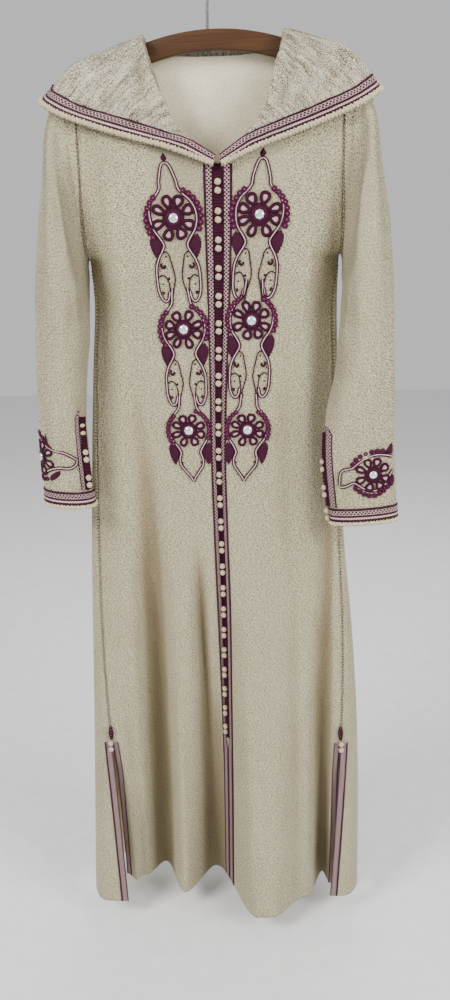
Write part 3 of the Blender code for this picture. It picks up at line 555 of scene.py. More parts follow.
def mesh_object(name, verts, faces, finish, smooth=True):
    """A mesh object from arrays of points and of faces with the same number of corners."""
    verts, faces = np.asarray(verts, np.float32), np.asarray(faces, np.int32)
    corners = faces.shape[1]
    mesh = bpy.data.meshes.new(name)
    mesh.vertices.add(len(verts))
    mesh.vertices.foreach_set("co", verts.ravel())
    mesh.loops.add(faces.size)
    mesh.loops.foreach_set("vertex_index", faces.ravel())
    mesh.polygons.add(len(faces))
    mesh.polygons.foreach_set("loop_start", np.arange(len(faces), dtype=np.int32) * corners)
    mesh.update(calc_edges=True)
    mesh.validate()
    if smooth:
        mesh.shade_smooth()
    mesh.materials.append(finish)
    made = bpy.data.objects.new(name, mesh)
    bpy.context.scene.collection.objects.link(made)
    return made


def grid_faces(rows, columns, wrap=False, flip=False):
    """Four-cornered faces between neighbours of a grid; wrap joins its last column to its first."""
    index = np.arange(rows * columns).reshape(rows, columns)
    if wrap:
        index = np.concatenate([index, index[:, :1]], 1)
    quads = np.stack([index[:-1, :-1], index[1:, :-1], index[1:, 1:], index[:-1, 1:]], -1).reshape(-1, 4)
    return quads[:, ::-1] if flip else quads


def grid_object(name, grid, finish, wrap=False, flip=False, tone=None):
    """A surface over a grid of points, with a UV map in metres along its rows and columns."""
    rows, columns = grid.shape[:2]
    made = mesh_object(name, grid.reshape(-1, 3), grid_faces(rows, columns, wrap, flip), finish)
    closed = np.concatenate([grid, grid[:, :1]], 1) if wrap else grid
    across = np.linalg.norm(np.diff(closed, axis=1), axis=-1)
    v = np.concatenate([np.zeros((rows, 1)), np.cumsum(across, 1)], 1)
    v = v - v[:, v.shape[1] // 2:v.shape[1] // 2 + 1]
    down = np.linalg.norm(np.diff(grid, axis=0), axis=-1).mean(1)
    u = np.broadcast_to(np.concatenate([[0], np.cumsum(down)])[:, None], v.shape)
    uv = np.stack([u, v], -1)
    corner = np.stack([uv[:-1, :-1], uv[1:, :-1], uv[1:, 1:], uv[:-1, 1:]], 2).reshape(-1, 4, 2)
    corner = corner[:, ::-1] if flip else corner
    made.data.uv_layers.new(name="cloth").data.foreach_set("uv", corner.ravel().astype(np.float32))
    # On cloth the tone is how deep a point lies in a fold, for painted shade; on braids it picks their
    # colours
    if tone is not None:
        attribute = made.data.attributes.new("tone", "FLOAT", "POINT")
        tone = np.broadcast_to(tone, (rows, columns)).ravel().astype(np.float32)
        attribute.data.foreach_set("value", tone)
    return made


def fold_shade_mask(grid, flip=False, wrap=False, reach=9):
    """How deep each point lies in a fold, 0 to 1: the mean of a window round it less the point, along
    its normal. It masks the shade painted into the cloth's folds."""
    smooth = grid
    for axis in (0, 1):
        pads = [(0, 0)] * 3
        pads[axis] = (reach + 1, reach)
        total = np.cumsum(np.pad(smooth, pads, mode="wrap" if wrap and axis else "edge"), axis)
        size = grid.shape[axis]
        upper = np.take(total, np.arange(2 * reach + 1, 2 * reach + 1 + size), axis)
        smooth = (upper - np.take(total, np.arange(size), axis)) / (2 * reach + 1)
    out = normals(grid, wrap=wrap) * (-1 if flip else 1)
    return np.clip(((smooth - grid) * out).sum(-1) / SHADE_FULL_DEPTH, 0, 1)


def walled(made, wall, reverse):
    """Gives a surface its thickness, behind the face that shows, and its reverse side its own finish."""
    made.data.materials.append(reverse)
    thick = made.modifiers.new("wall", "SOLIDIFY")
    thick.thickness = wall
    thick.offset = -1.0
    thick.material_offset = 1
    return made


def finished(made, slot_name, *nodes):
    """The last calls on a piece: it rides on the robe and hides the CAD nodes it stands for; slot_name is
    not used.
    """
    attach(made, "root")
    if nodes:
        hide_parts(*nodes)
    return made


# Cloth faces, finer than the solids but by the same tables

def heights_from(top, step):
    """A column's heights: close rows over the shoulder, then even ones to the hem."""
    close = np.array([0.0, 0.0002, 0.0006, 0.0013, 0.0025, 0.0042, 0.0065, 0.0092, 0.013, 0.018, 0.024,
                      0.030])
    upper = int((FULL_ROWS_FROM - 0.14) / step)
    lower = int((HEM - FULL_ROWS_FROM) / step)
    top = np.asarray(top, float)[..., None]
    spread = top + 0.030 + (FULL_ROWS_FROM - top - 0.030) * np.linspace(0, 1, upper + 1)[1:-1]
    level = np.broadcast_to(np.linspace(FULL_ROWS_FROM, HEM, lower + 1), top.shape[:-1] + (lower + 1,))
    return np.moveaxis(np.concatenate([top + close, spread, level], -1), -1, 0)


def front_columns_x(side, down, weight):
    """A front column's place across: weight 0 is the placket's line, 1 its braid's edge, 2 the slit's
    braid, and 3 the panel's edge."""
    line = read(PLACKET, "down", "line", down)
    braid = line + side * read(PLACKET, "down", "braids", down)
    edge = front_edge(side, down)[0]
    inner = edge - side * SLIT_BRAID
    start = line + side * GAP / 2
    first = start + (braid - start) * np.clip(weight, 0, 1)
    second = (inner - braid) * np.clip(weight - 1, 0, 1)
    third = (edge - inner) * np.clip(weight - 2, 0, 1)
    return first + second + third


def front_sheet_grid(side, step):
    """A front's outer face: columns from the placket to the side edge, rows from its top edge to the hem."""
    across = int(0.165 / step)
    weight = np.concatenate([np.linspace(0, 1, 5)[:-1], np.linspace(1, 2, across), np.linspace(2, 3, 4)[1:]])
    tops = np.full(len(weight), 0.12)
    for _ in range(3):
        down = heights_from(tops, step)
        x = front_columns_x(side, down, weight)
        tops = panel_top(x[0], NECK)
    down = heights_from(tops, step)
    x = front_columns_x(side, down, weight)
    return np.stack([x, front_face(x, down), -down], -1)


def back_lines(down, ridge):
    """Level lines of the back for arrays of heights: seam turn, rounded side, folded middle, and back."""
    depth = read(BODY, "down", "back", down) * np.sqrt(
        1 - (1 - np.clip((down - ridge) / SHOULDER_ROUND, 0, 1)) ** 2)
    ends = {}
    for side in (-1, 1):
        seam = seam_x(side, down)
        out = read(BODY, "down", side_name(side) + "_out", down)
        y = seam_y(side, down) * np.where(down < UNDERARM, -1, 1)
        flat = SEAM_TURN * ease((down - UNDERARM) / TURN_GROWS)
        wide_front = np.minimum(SIDE_FRONT, np.maximum(np.abs(out - seam) - flat, SIDE_LEAST))[:, None]
        angle = np.linspace(-math.pi / 2, math.pi / 2, 25)
        wide = np.where(angle < 0, wide_front, SIDE_BACK)
        x = out[:, None] - side * (wide - wide * np.cos(angle))
        arc = np.stack([x, ((y + depth) / 2)[:, None] + ((depth - y) / 2)[:, None] * np.sin(angle)], -1)
        start = np.stack([np.stack([seam + np.where(down > UNDERARM, side * GAP, 0), y], -1),
                          np.stack([seam + side * flat, y], -1)], 1)
        ends[side] = np.concatenate([start, arc], 1)
    share = np.linspace(0, 1, 150)[1:-1]
    x = ends[-1][:, -1:, 0] + (ends[1][:, -1:, 0] - ends[-1][:, -1:, 0]) * share
    fold = fold_wave(BACK_FOLDS, x, np.broadcast_to(down[:, None], x.shape))
    middle = np.stack([x, np.maximum(depth, GAP)[:, None] + fold], -1)
    return np.concatenate([ends[-1], middle, ends[1][:, ::-1]], 1)


def picked(lines, places):
    """Points at given lengths along many polylines (n, m, k), places (n, p), all as whole arrays."""
    step = np.linalg.norm(np.diff(lines, axis=1), axis=-1)
    along = np.concatenate([np.zeros((len(lines), 1)), np.cumsum(step, 1)], 1)
    i = np.clip((along[:, None, :] <= places[:, :, None]).sum(-1) - 1, 0, lines.shape[1] - 2)
    rows = np.arange(len(lines))[:, None]
    t = (places - along[rows, i]) / np.maximum(step[rows, i], 1e-9)
    return lines[rows, i] + (lines[rows, i + 1] - lines[rows, i]) * t[..., None]


def total_length(lines):
    """The lengths of many polylines."""
    return np.linalg.norm(np.diff(lines, axis=1), axis=-1).sum(1)


def back_sheet_grid(step):
    """The back's outer face: columns evenly spread from seam to seam round both sides, rows to the hem."""
    spread = int(0.46 / step)
    weight = np.concatenate([[0.0], np.linspace(0, 1, spread + 2), [1.0]])
    across = np.clip(ARMHOLE_X * (2 * weight - 1), -ARMHOLE_X, ARMHOLE_X)
    for _ in range(2):
        down = heights_from(panel_top(across, BACK_NECK), step)
        rows = []
        for heights in down:
            lines = back_lines(heights, shoulder(across))
            total = total_length(lines)
            even = SEAM_TURN + (total - 2 * SEAM_TURN) * weight
            even[0], even[-1] = 0.0, total[-1]
            point = picked(lines, even[:, None])[:, 0]
            rows.append(np.stack([point[:, 0], point[:, 1], -heights], -1))
        grid = np.stack(rows)
        across = grid[0, :, 0]
    hold = ease((down - shoulder(across)) / 0.030) * ease((0.155 - np.abs(grid[..., 0])) / 0.03)
    grid[..., 1] += hold * creases(BACK_CREASES, grid[..., 0], down)
    return grid


def sleeve_points(side, share, turn):
    """The sleeve's outer face at shares along it and turns round it (radians): flattened ovals between
    each loop's outer and inner point."""
    tab = SLEEVE[side]
    share, turn = np.broadcast_arrays(np.asarray(share, float), np.asarray(turn, float))
    value = curve_at(np.stack(list(tab.values()), 1), share * SLEEVE_SPANS)
    value = dict(zip(tab, np.moveaxis(value, -1, 0)))
    swing, front = np.cos(turn), np.sin(turn)
    x = (value["out_x"] + value["in_x"]) / 2 + (value["out_x"] - value["in_x"]) / 2 * swing
    down = (value["out_down"] + value["in_down"]) / 2 + (value["out_down"] - value["in_down"]) / 2 * swing
    x = x - side * value["lap"] * np.maximum(0, front) ** 2 * (1 - swing)
    y = value["middle"] - value["deep"] * np.sign(front) * np.abs(front) ** 0.9
    return np.stack([x, y, -down], -1)


def armhole_loops(side, turn):
    """The sleeve's first two loops: on the armhole's seam, and just outside it."""
    top = shoulder(side * ARMHOLE_X)
    down = (top + UNDERARM) / 2 - (UNDERARM - top) / 2 * np.cos(turn)
    y = -np.sign(np.sin(turn)) * armhole_depth(side, down) * (np.abs(np.sin(turn)) > 1e-6)
    x = seam_x(side, down)
    return np.stack([np.stack([x + side * 2 * GAP, y, -down], -1),
                     np.stack([x + side * 0.003, y, -down - 0.0008], -1)])


def sleeve_grid(side, rows, sides):
    """The sleeve's face with its creases, from the armhole's seam to the cuff."""
    turn = whole_turn(sides)
    share = np.linspace(0, 1, rows)[:, None]
    body = sleeve_points(side, share, turn)
    degrees = np.degrees(turn)[None, :]
    depth = 0.0006 * np.sin(degrees * 0.11 + share * 9) * np.sin(share * 31)
    for t0, s0, t1, s1, width, deep in zip(*SLEEVE_CREASES.values()):
        for wrap in (0, 360):
            ends = (t0 - wrap, s0 * CREASE_SPAN, t1 - wrap, s1 * CREASE_SPAN)
            depth = depth + along_crease(degrees, share * CREASE_SPAN, ends, width, deep)
    hold = ease(share / 0.08) * ease((1 - share) / 0.10)
    n = normals(body, wrap=True) * (-1 if side > 0 else 1)
    body = body - n * (depth * hold)[..., None]
    first = armhole_loops(side, turn)
    blend = np.stack([first[1] + (body[0] - first[1]) * t for t in (0.25, 0.5, 0.75)])
    return np.concatenate([first, blend, body])


def hood_lines(sections):
    """Dense lines from neck to rim for evenly spread sections round the hood."""
    controls = through(hood_controls(), sections)
    return np.swapaxes(through(np.swapaxes(controls, 0, 1), 81), 0, 1)


def hood_face(sections, places_of):
    """The hood's face that shows, at the lengths that places_of gives from each line's total length."""
    lines = hood_lines(sections)
    total = total_length(lines)
    places = places_of(total)
    grid = picked(lines, places)
    share = np.linspace(0, 1, sections)[:, None]
    t = places / total[:, None]
    depth = 0.0005 * np.sin(share * 70 + t * 5) * np.sin(t * 11 + share * 20)
    for s0, width, deep, lean in zip(*HOOD_CREASES.values()):
        depth = depth + deep * np.exp(-((share - s0 - lean * t) / width) ** 2)
    ribs = 0.00035 * np.sin(share * 620 + 4 * np.sin(share * 37)) * (1 + np.sin(share * 90)) / 2
    for row in zip(*HOOD_TROUGHS.values()):
        ahead = ease((0.004 - grid[..., 1]) / 0.012)
        depth = depth + ahead * along_crease(grid[..., 0], -grid[..., 2], row[:4], row[4], row[5])
    hold = ease(t / 0.12) * ease((1 - t) / 0.16) * ease(share / 0.03) * ease((1 - share) / 0.03)
    return grid - normals(grid) * ((depth + ribs) * hold)[..., None]


# Finishes

def socket(value, target, links):
    """Joins a node's output to an input, or sets the input's number."""
    if isinstance(value, bpy.types.NodeSocket):
        links.new(value, target)
    else:
        target.default_value = value


def calc(tree, operation, a, b=0.0, c=0.0):
    """The result of one sum on numbers or node outputs."""
    node = tree.nodes.new("ShaderNodeMath")
    node.operation = operation
    for value, target in zip((a, b, c), node.inputs):
        socket(value, target, tree.links)
    return node.outputs[0]


def blended(tree, share, first, second):
    """A colour between two, each one a tuple or a node's output."""
    node = tree.nodes.new("ShaderNodeMix")
    node.data_type = "RGBA"
    socket(share, node.inputs[0], tree.links)
    for value, target in ((first, node.inputs[6]), (second, node.inputs[7])):
        socket((*value, 1.0) if isinstance(value, tuple) else value, target, tree.links)
    return node.outputs[2]


def noise(tree, vector, scale, detail=3.0, roughness=0.5):
    """Cloudy noise from 0 to 1."""
    node = tree.nodes.new("ShaderNodeTexNoise")
    node.inputs["Scale"].default_value = scale
    node.inputs["Detail"].default_value = detail
    node.inputs["Roughness"].default_value = roughness
    if vector is not None:
        tree.links.new(vector, node.inputs["Vector"])
    return node.outputs["Fac"]


def stretched(tree, vector, scale, turn=(0.0, 0.0, 0.0)):
    """Coordinates scaled and turned."""
    node = tree.nodes.new("ShaderNodeMapping")
    node.inputs["Scale"].default_value = scale
    node.inputs["Rotation"].default_value = turn
    tree.links.new(vector, node.inputs["Vector"])
    return node.outputs[0]


def finish(name, roughness, sheen=0.0, metallic=0.0, coat=0.0, specular=0.5):
    """A new material and its tree, with the numbers that are the same all over on the shader's sockets."""
    made = bpy.data.materials.new(name)
    made.use_nodes = True
    tree = made.node_tree
    shader = tree.nodes["Principled BSDF"]
    shader.inputs["Roughness"].default_value = roughness
    shader.inputs["Sheen Weight"].default_value = sheen
    shader.inputs["Metallic"].default_value = metallic
    shader.inputs["Coat Weight"].default_value = coat
    shader.inputs["Specular IOR Level"].default_value = specular
    return made, tree, shader


def bump(tree, shader, height, distance, strength=1.0):
    """Joins a height to the shader as fine relief."""
    node = tree.nodes.new("ShaderNodeBump")
    node.inputs["Distance"].default_value = distance
    node.inputs["Strength"].default_value = strength
    tree.links.new(height, node.inputs["Height"])
    tree.links.new(node.outputs[0], shader.inputs["Normal"])


def coordinates(tree, kind):
    """Texture coordinates of one kind, in metres here."""
    return tree.nodes.new("ShaderNodeTexCoord").outputs[kind]


def split(tree, vector):
    """The three numbers of a vector."""
    node = tree.nodes.new("ShaderNodeSeparateXYZ")
    tree.links.new(vector, node.inputs[0])
    return node.outputs


def wave(tree, a, pitch, b=0.0, slope=0.0):
    """Sine of a plus slope times b, with the given pitch in metres."""
    place = calc(tree, "MULTIPLY_ADD", b, slope, a) if slope else a
    return calc(tree, "SINE", calc(tree, "MULTIPLY", place, 2 * math.pi / pitch))


def clamped(tree, value):
    """A value kept from 0 to 1."""
    node = tree.nodes.new("ShaderNodeClamp")
    tree.links.new(value, node.inputs[0])
    return node.outputs[0]


SPECKS = (760.0, 380.0, 1.0)


def jacquard(name, light, dark, painted_shade_colour, relief, specks, streaks=0.0):
    """Cream cloth: specks of shiny weft slanting both ways over small scales, with painted fold shade."""
    made, tree, shader = finish(name, 0.55, specular=0.4)
    uv = coordinates(tree, "UV")
    u, v, _ = split(tree, uv)
    wobble = calc(tree, "MULTIPLY", calc(tree, "SUBTRACT", noise(tree, uv, 120.0, 2.0), 0.5), 0.0050)
    u2, v2 = calc(tree, "ADD", u, wobble), calc(tree, "SUBTRACT", v, wobble)
    rising, falling = (wave(tree, u2, SCALE_PITCH, v2, slope) for slope in (0.9, -0.9))
    scale = calc(tree, "MULTIPLY", rising, falling)
    one, other = (noise(tree, stretched(tree, uv, SPECKS, (0, 0, turn)), 1.0, 1.0) for turn in (0.75, -0.75))
    speck = calc(tree, "SUBTRACT", calc(tree, "ADD", one, other), 1.0)
    weave = calc(tree, "MULTIPLY_ADD", speck, specks, calc(tree, "MULTIPLY", scale, 0.30))
    height = weave
    if streaks:
        fan = noise(tree, stretched(tree, uv, (170.0, 24.0, 1.0)), 1.0, 3.0)
        height = calc(tree, "MULTIPLY_ADD", fan, streaks, height)
        # The puckers' relief is in the bump; their shade is painted into the colour as well
        weave = calc(tree, "MULTIPLY_ADD", calc(tree, "SUBTRACT", fan, 0.5), 0.4 * streaks, weave)
    bump(tree, shader, height, relief)
    cloudy = calc(tree, "SUBTRACT", noise(tree, uv, 9.0, 3.0), 0.5)
    # The hood's copy takes a lower share of its light colour here: painted shade that darkens the hood
    even = calc(tree, "ADD", weave, 0.66 if streaks else 1.0)
    share = clamped(tree, calc(tree, "MULTIPLY_ADD", cloudy, 0.6, even))
    colour = blended(tree, share, dark, light)
    # Painted shade: the colour turns towards a brown shade colour where the tone says the cloth lies deep in
    # a fold
    fold_shade_node = tree.nodes.new("ShaderNodeAttribute")
    fold_shade_node.attribute_name = "tone"
    deep = clamped(tree, calc(tree, "MULTIPLY", fold_shade_node.outputs["Fac"], PAINTED_SHADE_SHARE))
    tree.links.new(blended(tree, deep, colour, painted_shade_colour), shader.inputs["Base Color"])
    return made


def reverse_side():
    """The jacquard's plain reverse: lighter and flatter, with short floats of weft."""
    made, tree, shader = finish("cream jacquard, reverse side", 0.7, specular=0.3)
    uv = coordinates(tree, "UV")
    floats = noise(tree, stretched(tree, uv, (300.0, 700.0, 1.0), (0, 0, 0.4)), 1.0, 3.0)
    cloudy = noise(tree, uv, 18.0, 3.0)
    share = clamped(tree, calc(tree, "MULTIPLY_ADD", calc(tree, "SUBTRACT", floats, 0.5), 2.2, cloudy))
    tree.links.new(blended(tree, share, (0.62, 0.53, 0.36), (0.95, 0.87, 0.66)), shader.inputs["Base Color"])
    bump(tree, shader, floats, 0.0010)
    return made


def braid_finish(name):
    """Braid: tone 0 is a purple cord, 0.5 a pale pink one, and 1 a lattice of pale threads over purple."""
    made, tree, shader = finish(name, 0.6, specular=0.25)
    u, v, _ = split(tree, coordinates(tree, "UV"))
    threads = [wave(tree, u, 2 * LATTICE_PITCH, v, slope) for slope in (1.0, -1.0)]
    one, other = (calc(tree, "ABSOLUTE", thread) for thread in threads)
    gap = clamped(tree, calc(tree, "MULTIPLY_ADD", calc(tree, "MINIMUM", one, other), 4.5, -0.9))
    tone = tree.nodes.new("ShaderNodeAttribute")
    tone.attribute_name = "tone"
    twist = wave(tree, u, 0.0040, v, 0.8)
    ragged = calc(tree, "MULTIPLY_ADD", twist, 0.22, tone.outputs["Fac"])
    grain = noise(tree, coordinates(tree, "UV"), 1400.0, 2.0)
    rope = clamped(tree, calc(tree, "MULTIPLY_ADD", twist, 0.35, grain))
    purple = blended(tree, rope, PURPLE_DARK, PURPLE_LIGHT)
    pale = blended(tree, grain, PINK_DARK, PINK_LIGHT)
    lattice = blended(tree, gap, pale, purple)
    pick_pale = calc(tree, "GREATER_THAN", ragged, 0.25)
    pick_lattice = calc(tree, "GREATER_THAN", ragged, 0.75)
    colour = blended(tree, pick_lattice, blended(tree, pick_pale, purple, pale), lattice)
    tree.links.new(colour, shader.inputs["Base Color"])
    plain = calc(tree, "SUBTRACT", 1.0, pick_lattice)
    ropes, holes = calc(tree, "MULTIPLY", twist, plain), calc(tree, "MULTIPLY", gap, pick_lattice)
    bump(tree, shader, calc(tree, "SUBTRACT", ropes, holes), 0.0006)
    return made


def thread_finish(name, dark, light, roughness=0.6, scale=1.0):
    """Wound thread: fine ribs and specks of light and dark in object coordinates."""
    made, tree, shader = finish(name, roughness, specular=0.15)
    place = coordinates(tree, "Object")
    speck = noise(tree, place, 900.0 * scale, 2.0)
    band = noise(tree, stretched(tree, place, (1400.0, 1400.0, 2600.0), (0.4, 0.6, 0.3)), 1.0, 1.0)
    mixed = calc(tree, "MULTIPLY_ADD", calc(tree, "SUBTRACT", band, 0.5), 1.2, speck)
    tree.links.new(blended(tree, clamped(tree, mixed), dark, light), shader.inputs["Base Color"])
    bump(tree, shader, band, 0.0006)
    return made


def wood_finish():
    """Varnished wood: long grain along the bar, a few darker streaks, and worn lighter patches."""
    made, tree, shader = finish("varnished wood", 0.45, coat=0.10, specular=0.3)
    place = coordinates(tree, "Object")
    grain = noise(tree, stretched(tree, place, (9.0, 160.0, 420.0)), 1.0, 5.0, 0.6)
    streak = noise(tree, stretched(tree, place, (5.0, 30.0, 60.0)), 1.0, 3.0)
    share = calc(tree, "MULTIPLY_ADD", calc(tree, "SUBTRACT", grain, 0.5), 1.5, streak)
    colour = blended(tree, clamped(tree, share), (0.026, 0.009, 0.002), (0.090, 0.034, 0.008))
    tree.links.new(colour, shader.inputs["Base Color"])
    bump(tree, shader, grain, 0.0003)
    return made


def crystal_finish():
    """A cut crystal with a foiled back: bright, with faint changing tints from facet to facet."""
    made, tree, shader = finish("foiled crystal", 0.08, metallic=0.55, coat=1.0)
    place = coordinates(tree, "Object")
    cells = tree.nodes.new("ShaderNodeTexVoronoi")
    cells.inputs["Scale"].default_value = 420.0
    tree.links.new(place, cells.inputs["Vector"])
    tint = blended(tree, 0.72, cells.outputs["Color"], (0.80, 0.92, 0.90))
    tree.links.new(tint, shader.inputs["Base Color"])
    return made


def plain_finish(name, colour, roughness, metallic=0.0):
    """One colour, a little darker in clouds."""
    made, tree, shader = finish(name, roughness, metallic=metallic)
    place = coordinates(tree, "Object")
    cloudy = noise(tree, place, 30.0, 4.0)
    darker = tuple(0.82 * c for c in colour)
    tree.links.new(blended(tree, cloudy, darker, colour), shader.inputs["Base Color"])
    return made


# Laid bands: share across, height over the cloth, and tone (0 purple cord, 0.5 pale cord, 1 lattice)
NARROW_BRAID = table(
    "share lift tone",
    (0.00, 0.0000, 0.0), (0.02, 0.0010, 0.0), (0.07, 0.0017, 0.0), (0.13, 0.0010, 0.0),
    (0.15, 0.0009, 1.0), (0.25, 0.0013, 1.0), (0.41, 0.0014, 1.0), (0.57, 0.0013, 1.0), (0.71, 0.0009, 1.0),
    (0.73, 0.0013, 0.0), (0.85, 0.0021, 0.0), (0.96, 0.0012, 0.0), (1.00, 0.0000, 0.0),
)
WIDE_BRAID = table(
    "share lift tone",
    (0.070, 0.0000, 0.0), (0.085, 0.0014, 0.0), (0.135, 0.0021, 0.0), (0.185, 0.0015, 0.0),
    (0.215, 0.0010, 1.0), (0.270, 0.0013, 1.0), (0.320, 0.0014, 1.0), (0.370, 0.0013, 1.0),
    (0.405, 0.0010, 1.0), (0.430, 0.0014, 0.0), (0.480, 0.0020, 0.0), (0.530, 0.0014, 0.0),
    (0.555, 0.0013, 0.5), (0.585, 0.0017, 0.5), (0.620, 0.0013, 0.5), (0.645, 0.0015, 0.0),
    (0.710, 0.0022, 0.0), (0.775, 0.0013, 0.0), (0.805, 0.0000, 0.0),
)


def unit(vectors):
    """Vectors brought to length 1."""
    return vectors / np.maximum(np.linalg.norm(vectors, axis=-1, keepdims=True), 1e-9)


def joined(parts):
    """One array of points and one of faces from several pieces of the same kind of face."""
    starts = np.cumsum([0] + [len(points) for points, _ in parts])
    return (np.concatenate([points for points, _ in parts]),
            np.concatenate([faces + start for (_, faces), start in zip(parts, starts)]))


def tube(path, out, size, low, closed):
    """A tube about a path, with a radius for each point of its rings, flattened by low up from the cloth."""
    if closed:
        along = unit(np.roll(path, -1, 0) - np.roll(path, 1, 0))
    else:
        along = unit(np.gradient(path, axis=0))
    beside = unit(np.cross(along, out))
    up = np.cross(beside, along)
    turn = whole_turn(size.shape[1])
    ring = np.cos(turn)[:, None] * beside[:, None] + low * np.sin(turn)[:, None] * up[:, None]
    grid = path[:, None] + size[..., None] * ring
    if closed:
        grid = np.concatenate([grid, grid[:1]])
    return grid.reshape(-1, 3), grid_faces(len(grid), size.shape[1], wrap=True)


def cord_tube(path, out, radius, sides=6, closed=False, low=1.0):
    """A cord along a path, drawn in to a point at both ends, or joined where it is closed."""
    size = np.full((len(path), sides), radius)
    if not closed:
        size[[0, -1]] = 0.0
        size[[1, -2]] *= 0.8
    return tube(path, out, size, low, closed)


def smooth_path(points, step=0.0022):
    """Points along a smooth curve through the given ones, at an even step."""
    dense = through(points, 14 * len(points))
    total = total_length(dense[None])[0]
    return picked(dense[None], np.linspace(0, total, max(4, int(total / step)))[None])[0]


def beside_path(path, apart):
    """A flat path moved sideways."""
    along = unit(np.gradient(path, axis=0))
    return path + apart * np.stack([along[:, 1], -along[:, 0]], -1)


def on_front(path, lift):
    """Points and normals of a path (across, down) laid on the front."""
    return front_point(path[:, 0], path[:, 1], lift)


def raised(grid, profile, flip):
    """A grid with its columns moved out along its normals by a profile's heights."""
    outward = normals(grid) * (-1 if flip else 1)
    return grid + outward * profile["lift"][None, :, None]


def braid(name, grid, profile, flip, *nodes):
    """A braid over a grid of points, toned across by its profile."""
    finished(grid_object(name, grid, BRAID_MADE, flip=flip, tone=profile["tone"]), "braid", *nodes)


# The cloth

def cut(name, grid, face, reverse, flip=False, wrap=False):
    """A piece of cloth: its face and its thickness, riding on the robe."""
    # The tone holds each point's depth in a fold, for the shade painted into the cloth's colour
    tone = fold_shade_mask(grid, flip=flip, wrap=wrap)
    made = grid_object(name + "_cloth", grid, face, wrap=wrap, flip=flip, tone=tone)
    walled(made, CLOTH_WALL, reverse)
    finished(made, "cream_cloth", name)


def build_cloth():
    """The two fronts, the back, the two sleeves and the hood."""
    for side in (-1, 1):
        grid = front_sheet_grid(side, ROW_STEP)
        cut("front_" + side_name(side), grid, CREAM, CREAM_REVERSE, flip=side < 0)
    cut("back", back_sheet_grid(ROW_STEP), CREAM, CREAM_REVERSE, flip=True)
    for side in (-1, 1):
        grid = sleeve_grid(side, 150, 76)
        cut("sleeve_" + side_name(side), grid, CREAM, CREAM_REVERSE, side > 0, True)
    grid = hood_face(300, lambda total: total[:, None] * np.linspace(0, 1, 84))
    cut("hood", grid, CREAM_HOOD_SHADED, CREAM)


# The placket, with its loops and knots

def loop_lift(ridge, across, proud=0.0006):
    """How far wound loops stand up: each a ridge, and together rounded off at both edges of the strip."""
    return (proud + 0.0021 * ridge ** 0.7) * np.sqrt(np.maximum(0, 1 - across ** 4)) + 0.0001


def in_pairs(down):
    """The heights of the two knots of each pair."""
    return np.stack([down - KNOT_APART / 2, down + KNOT_APART / 2], 1).ravel()


def build_placket():
    """Both braids, the strip of loops between them, and the knots."""
    for side in (-1, 1):
        name = "placket_braid_" + side_name(side)
        top = panel_top(np.array([read(PLACKET, "down", "line", PLACKET["down"][0])]), NECK)[0] + 0.001
        down = np.linspace(top, HEM - 0.001, 640)[:, None]
        line = read(PLACKET, "down", "line", down)
        inner = read(PLACKET, "down", "loops", down) - 0.0006
        outer = BRAID_SPREAD * read(PLACKET, "down", "braids", down)
        inner = inner * ease((LAST_LOOP + 0.03 - down) / 0.03) + 0.0004
        x = line + side * (inner + (outer - inner) * NARROW_BRAID["share"][None])
        low_top = panel_top(x[:1], NECK) + 0.0006
        down = np.maximum(down, low_top + (down - down[0]) * 0.2)
        points, _ = front_point(x, down, NARROW_BRAID["lift"][None])
        braid(name + "_sewn", points, NARROW_BRAID, side < 0, name)
    down = np.arange(0.2705, LAST_LOOP, 0.0007)[:, None]
    line = read(PLACKET, "down", "line", down)
    half = read(PLACKET, "down", "loops", down)
    share = np.sin(np.linspace(-1, 1, 12) * math.pi / 2)[None]
    round_it = (down - FIRST_PAIR) * math.pi * LOOPS_A_PAIR / PAIR_PITCH
    ridge = np.abs(np.cos(round_it + 0.35 * np.abs(share)))
    points, _ = front_point(line + half * share, down, loop_lift(ridge, share))
    finished(grid_object("placket_loops_laid", points, PURPLE), "purple_thread", "placket_loops")
    down = in_pairs(FIRST_PAIR + PAIR_PITCH * np.arange(BUTTON_PAIRS))
    centre, out = front_point(read(PLACKET, "down", "line", down), down, KNOT_SEAT)
    names = [f"button_pair_{i + 1:02d}" for i in range(BUTTON_PAIRS)]
    finished(knots("placket_knots", centre, out), "cream_cord", *names)


def knots(name, centres, out, radius=0.0048):
    """Turk's-head knots: balls raised in two crossing sets of rounds, all in one mesh."""
    polar = np.linspace(0, math.pi, 15)[:, None]
    turn = whole_turn(24)[None]
    rounds = np.maximum(np.sin(4 * turn + 4.5 * polar), np.sin(4 * turn - 4.5 * polar))
    size = radius * (0.93 + 0.085 * rounds * np.sin(polar))
    side = unit(np.cross(np.array([0, 0, 1.0]), out))
    up = np.cross(out, side)
    local = np.stack([size * np.sin(polar) * np.cos(turn), size * np.sin(polar) * np.sin(turn),
                      size * np.cos(polar) * 0.86], -1)
    axes = np.stack([side, np.broadcast_to(up, side.shape), out], 1)
    points = centres[:, None, None] + np.einsum("rck,nkd->nrcd", local, axes)
    faces = grid_faces(15, 24, wrap=True)
    return mesh_object(name, *joined([(ball.reshape(-1, 3), faces) for ball in points]), CREAM_CORD)


# The side slits

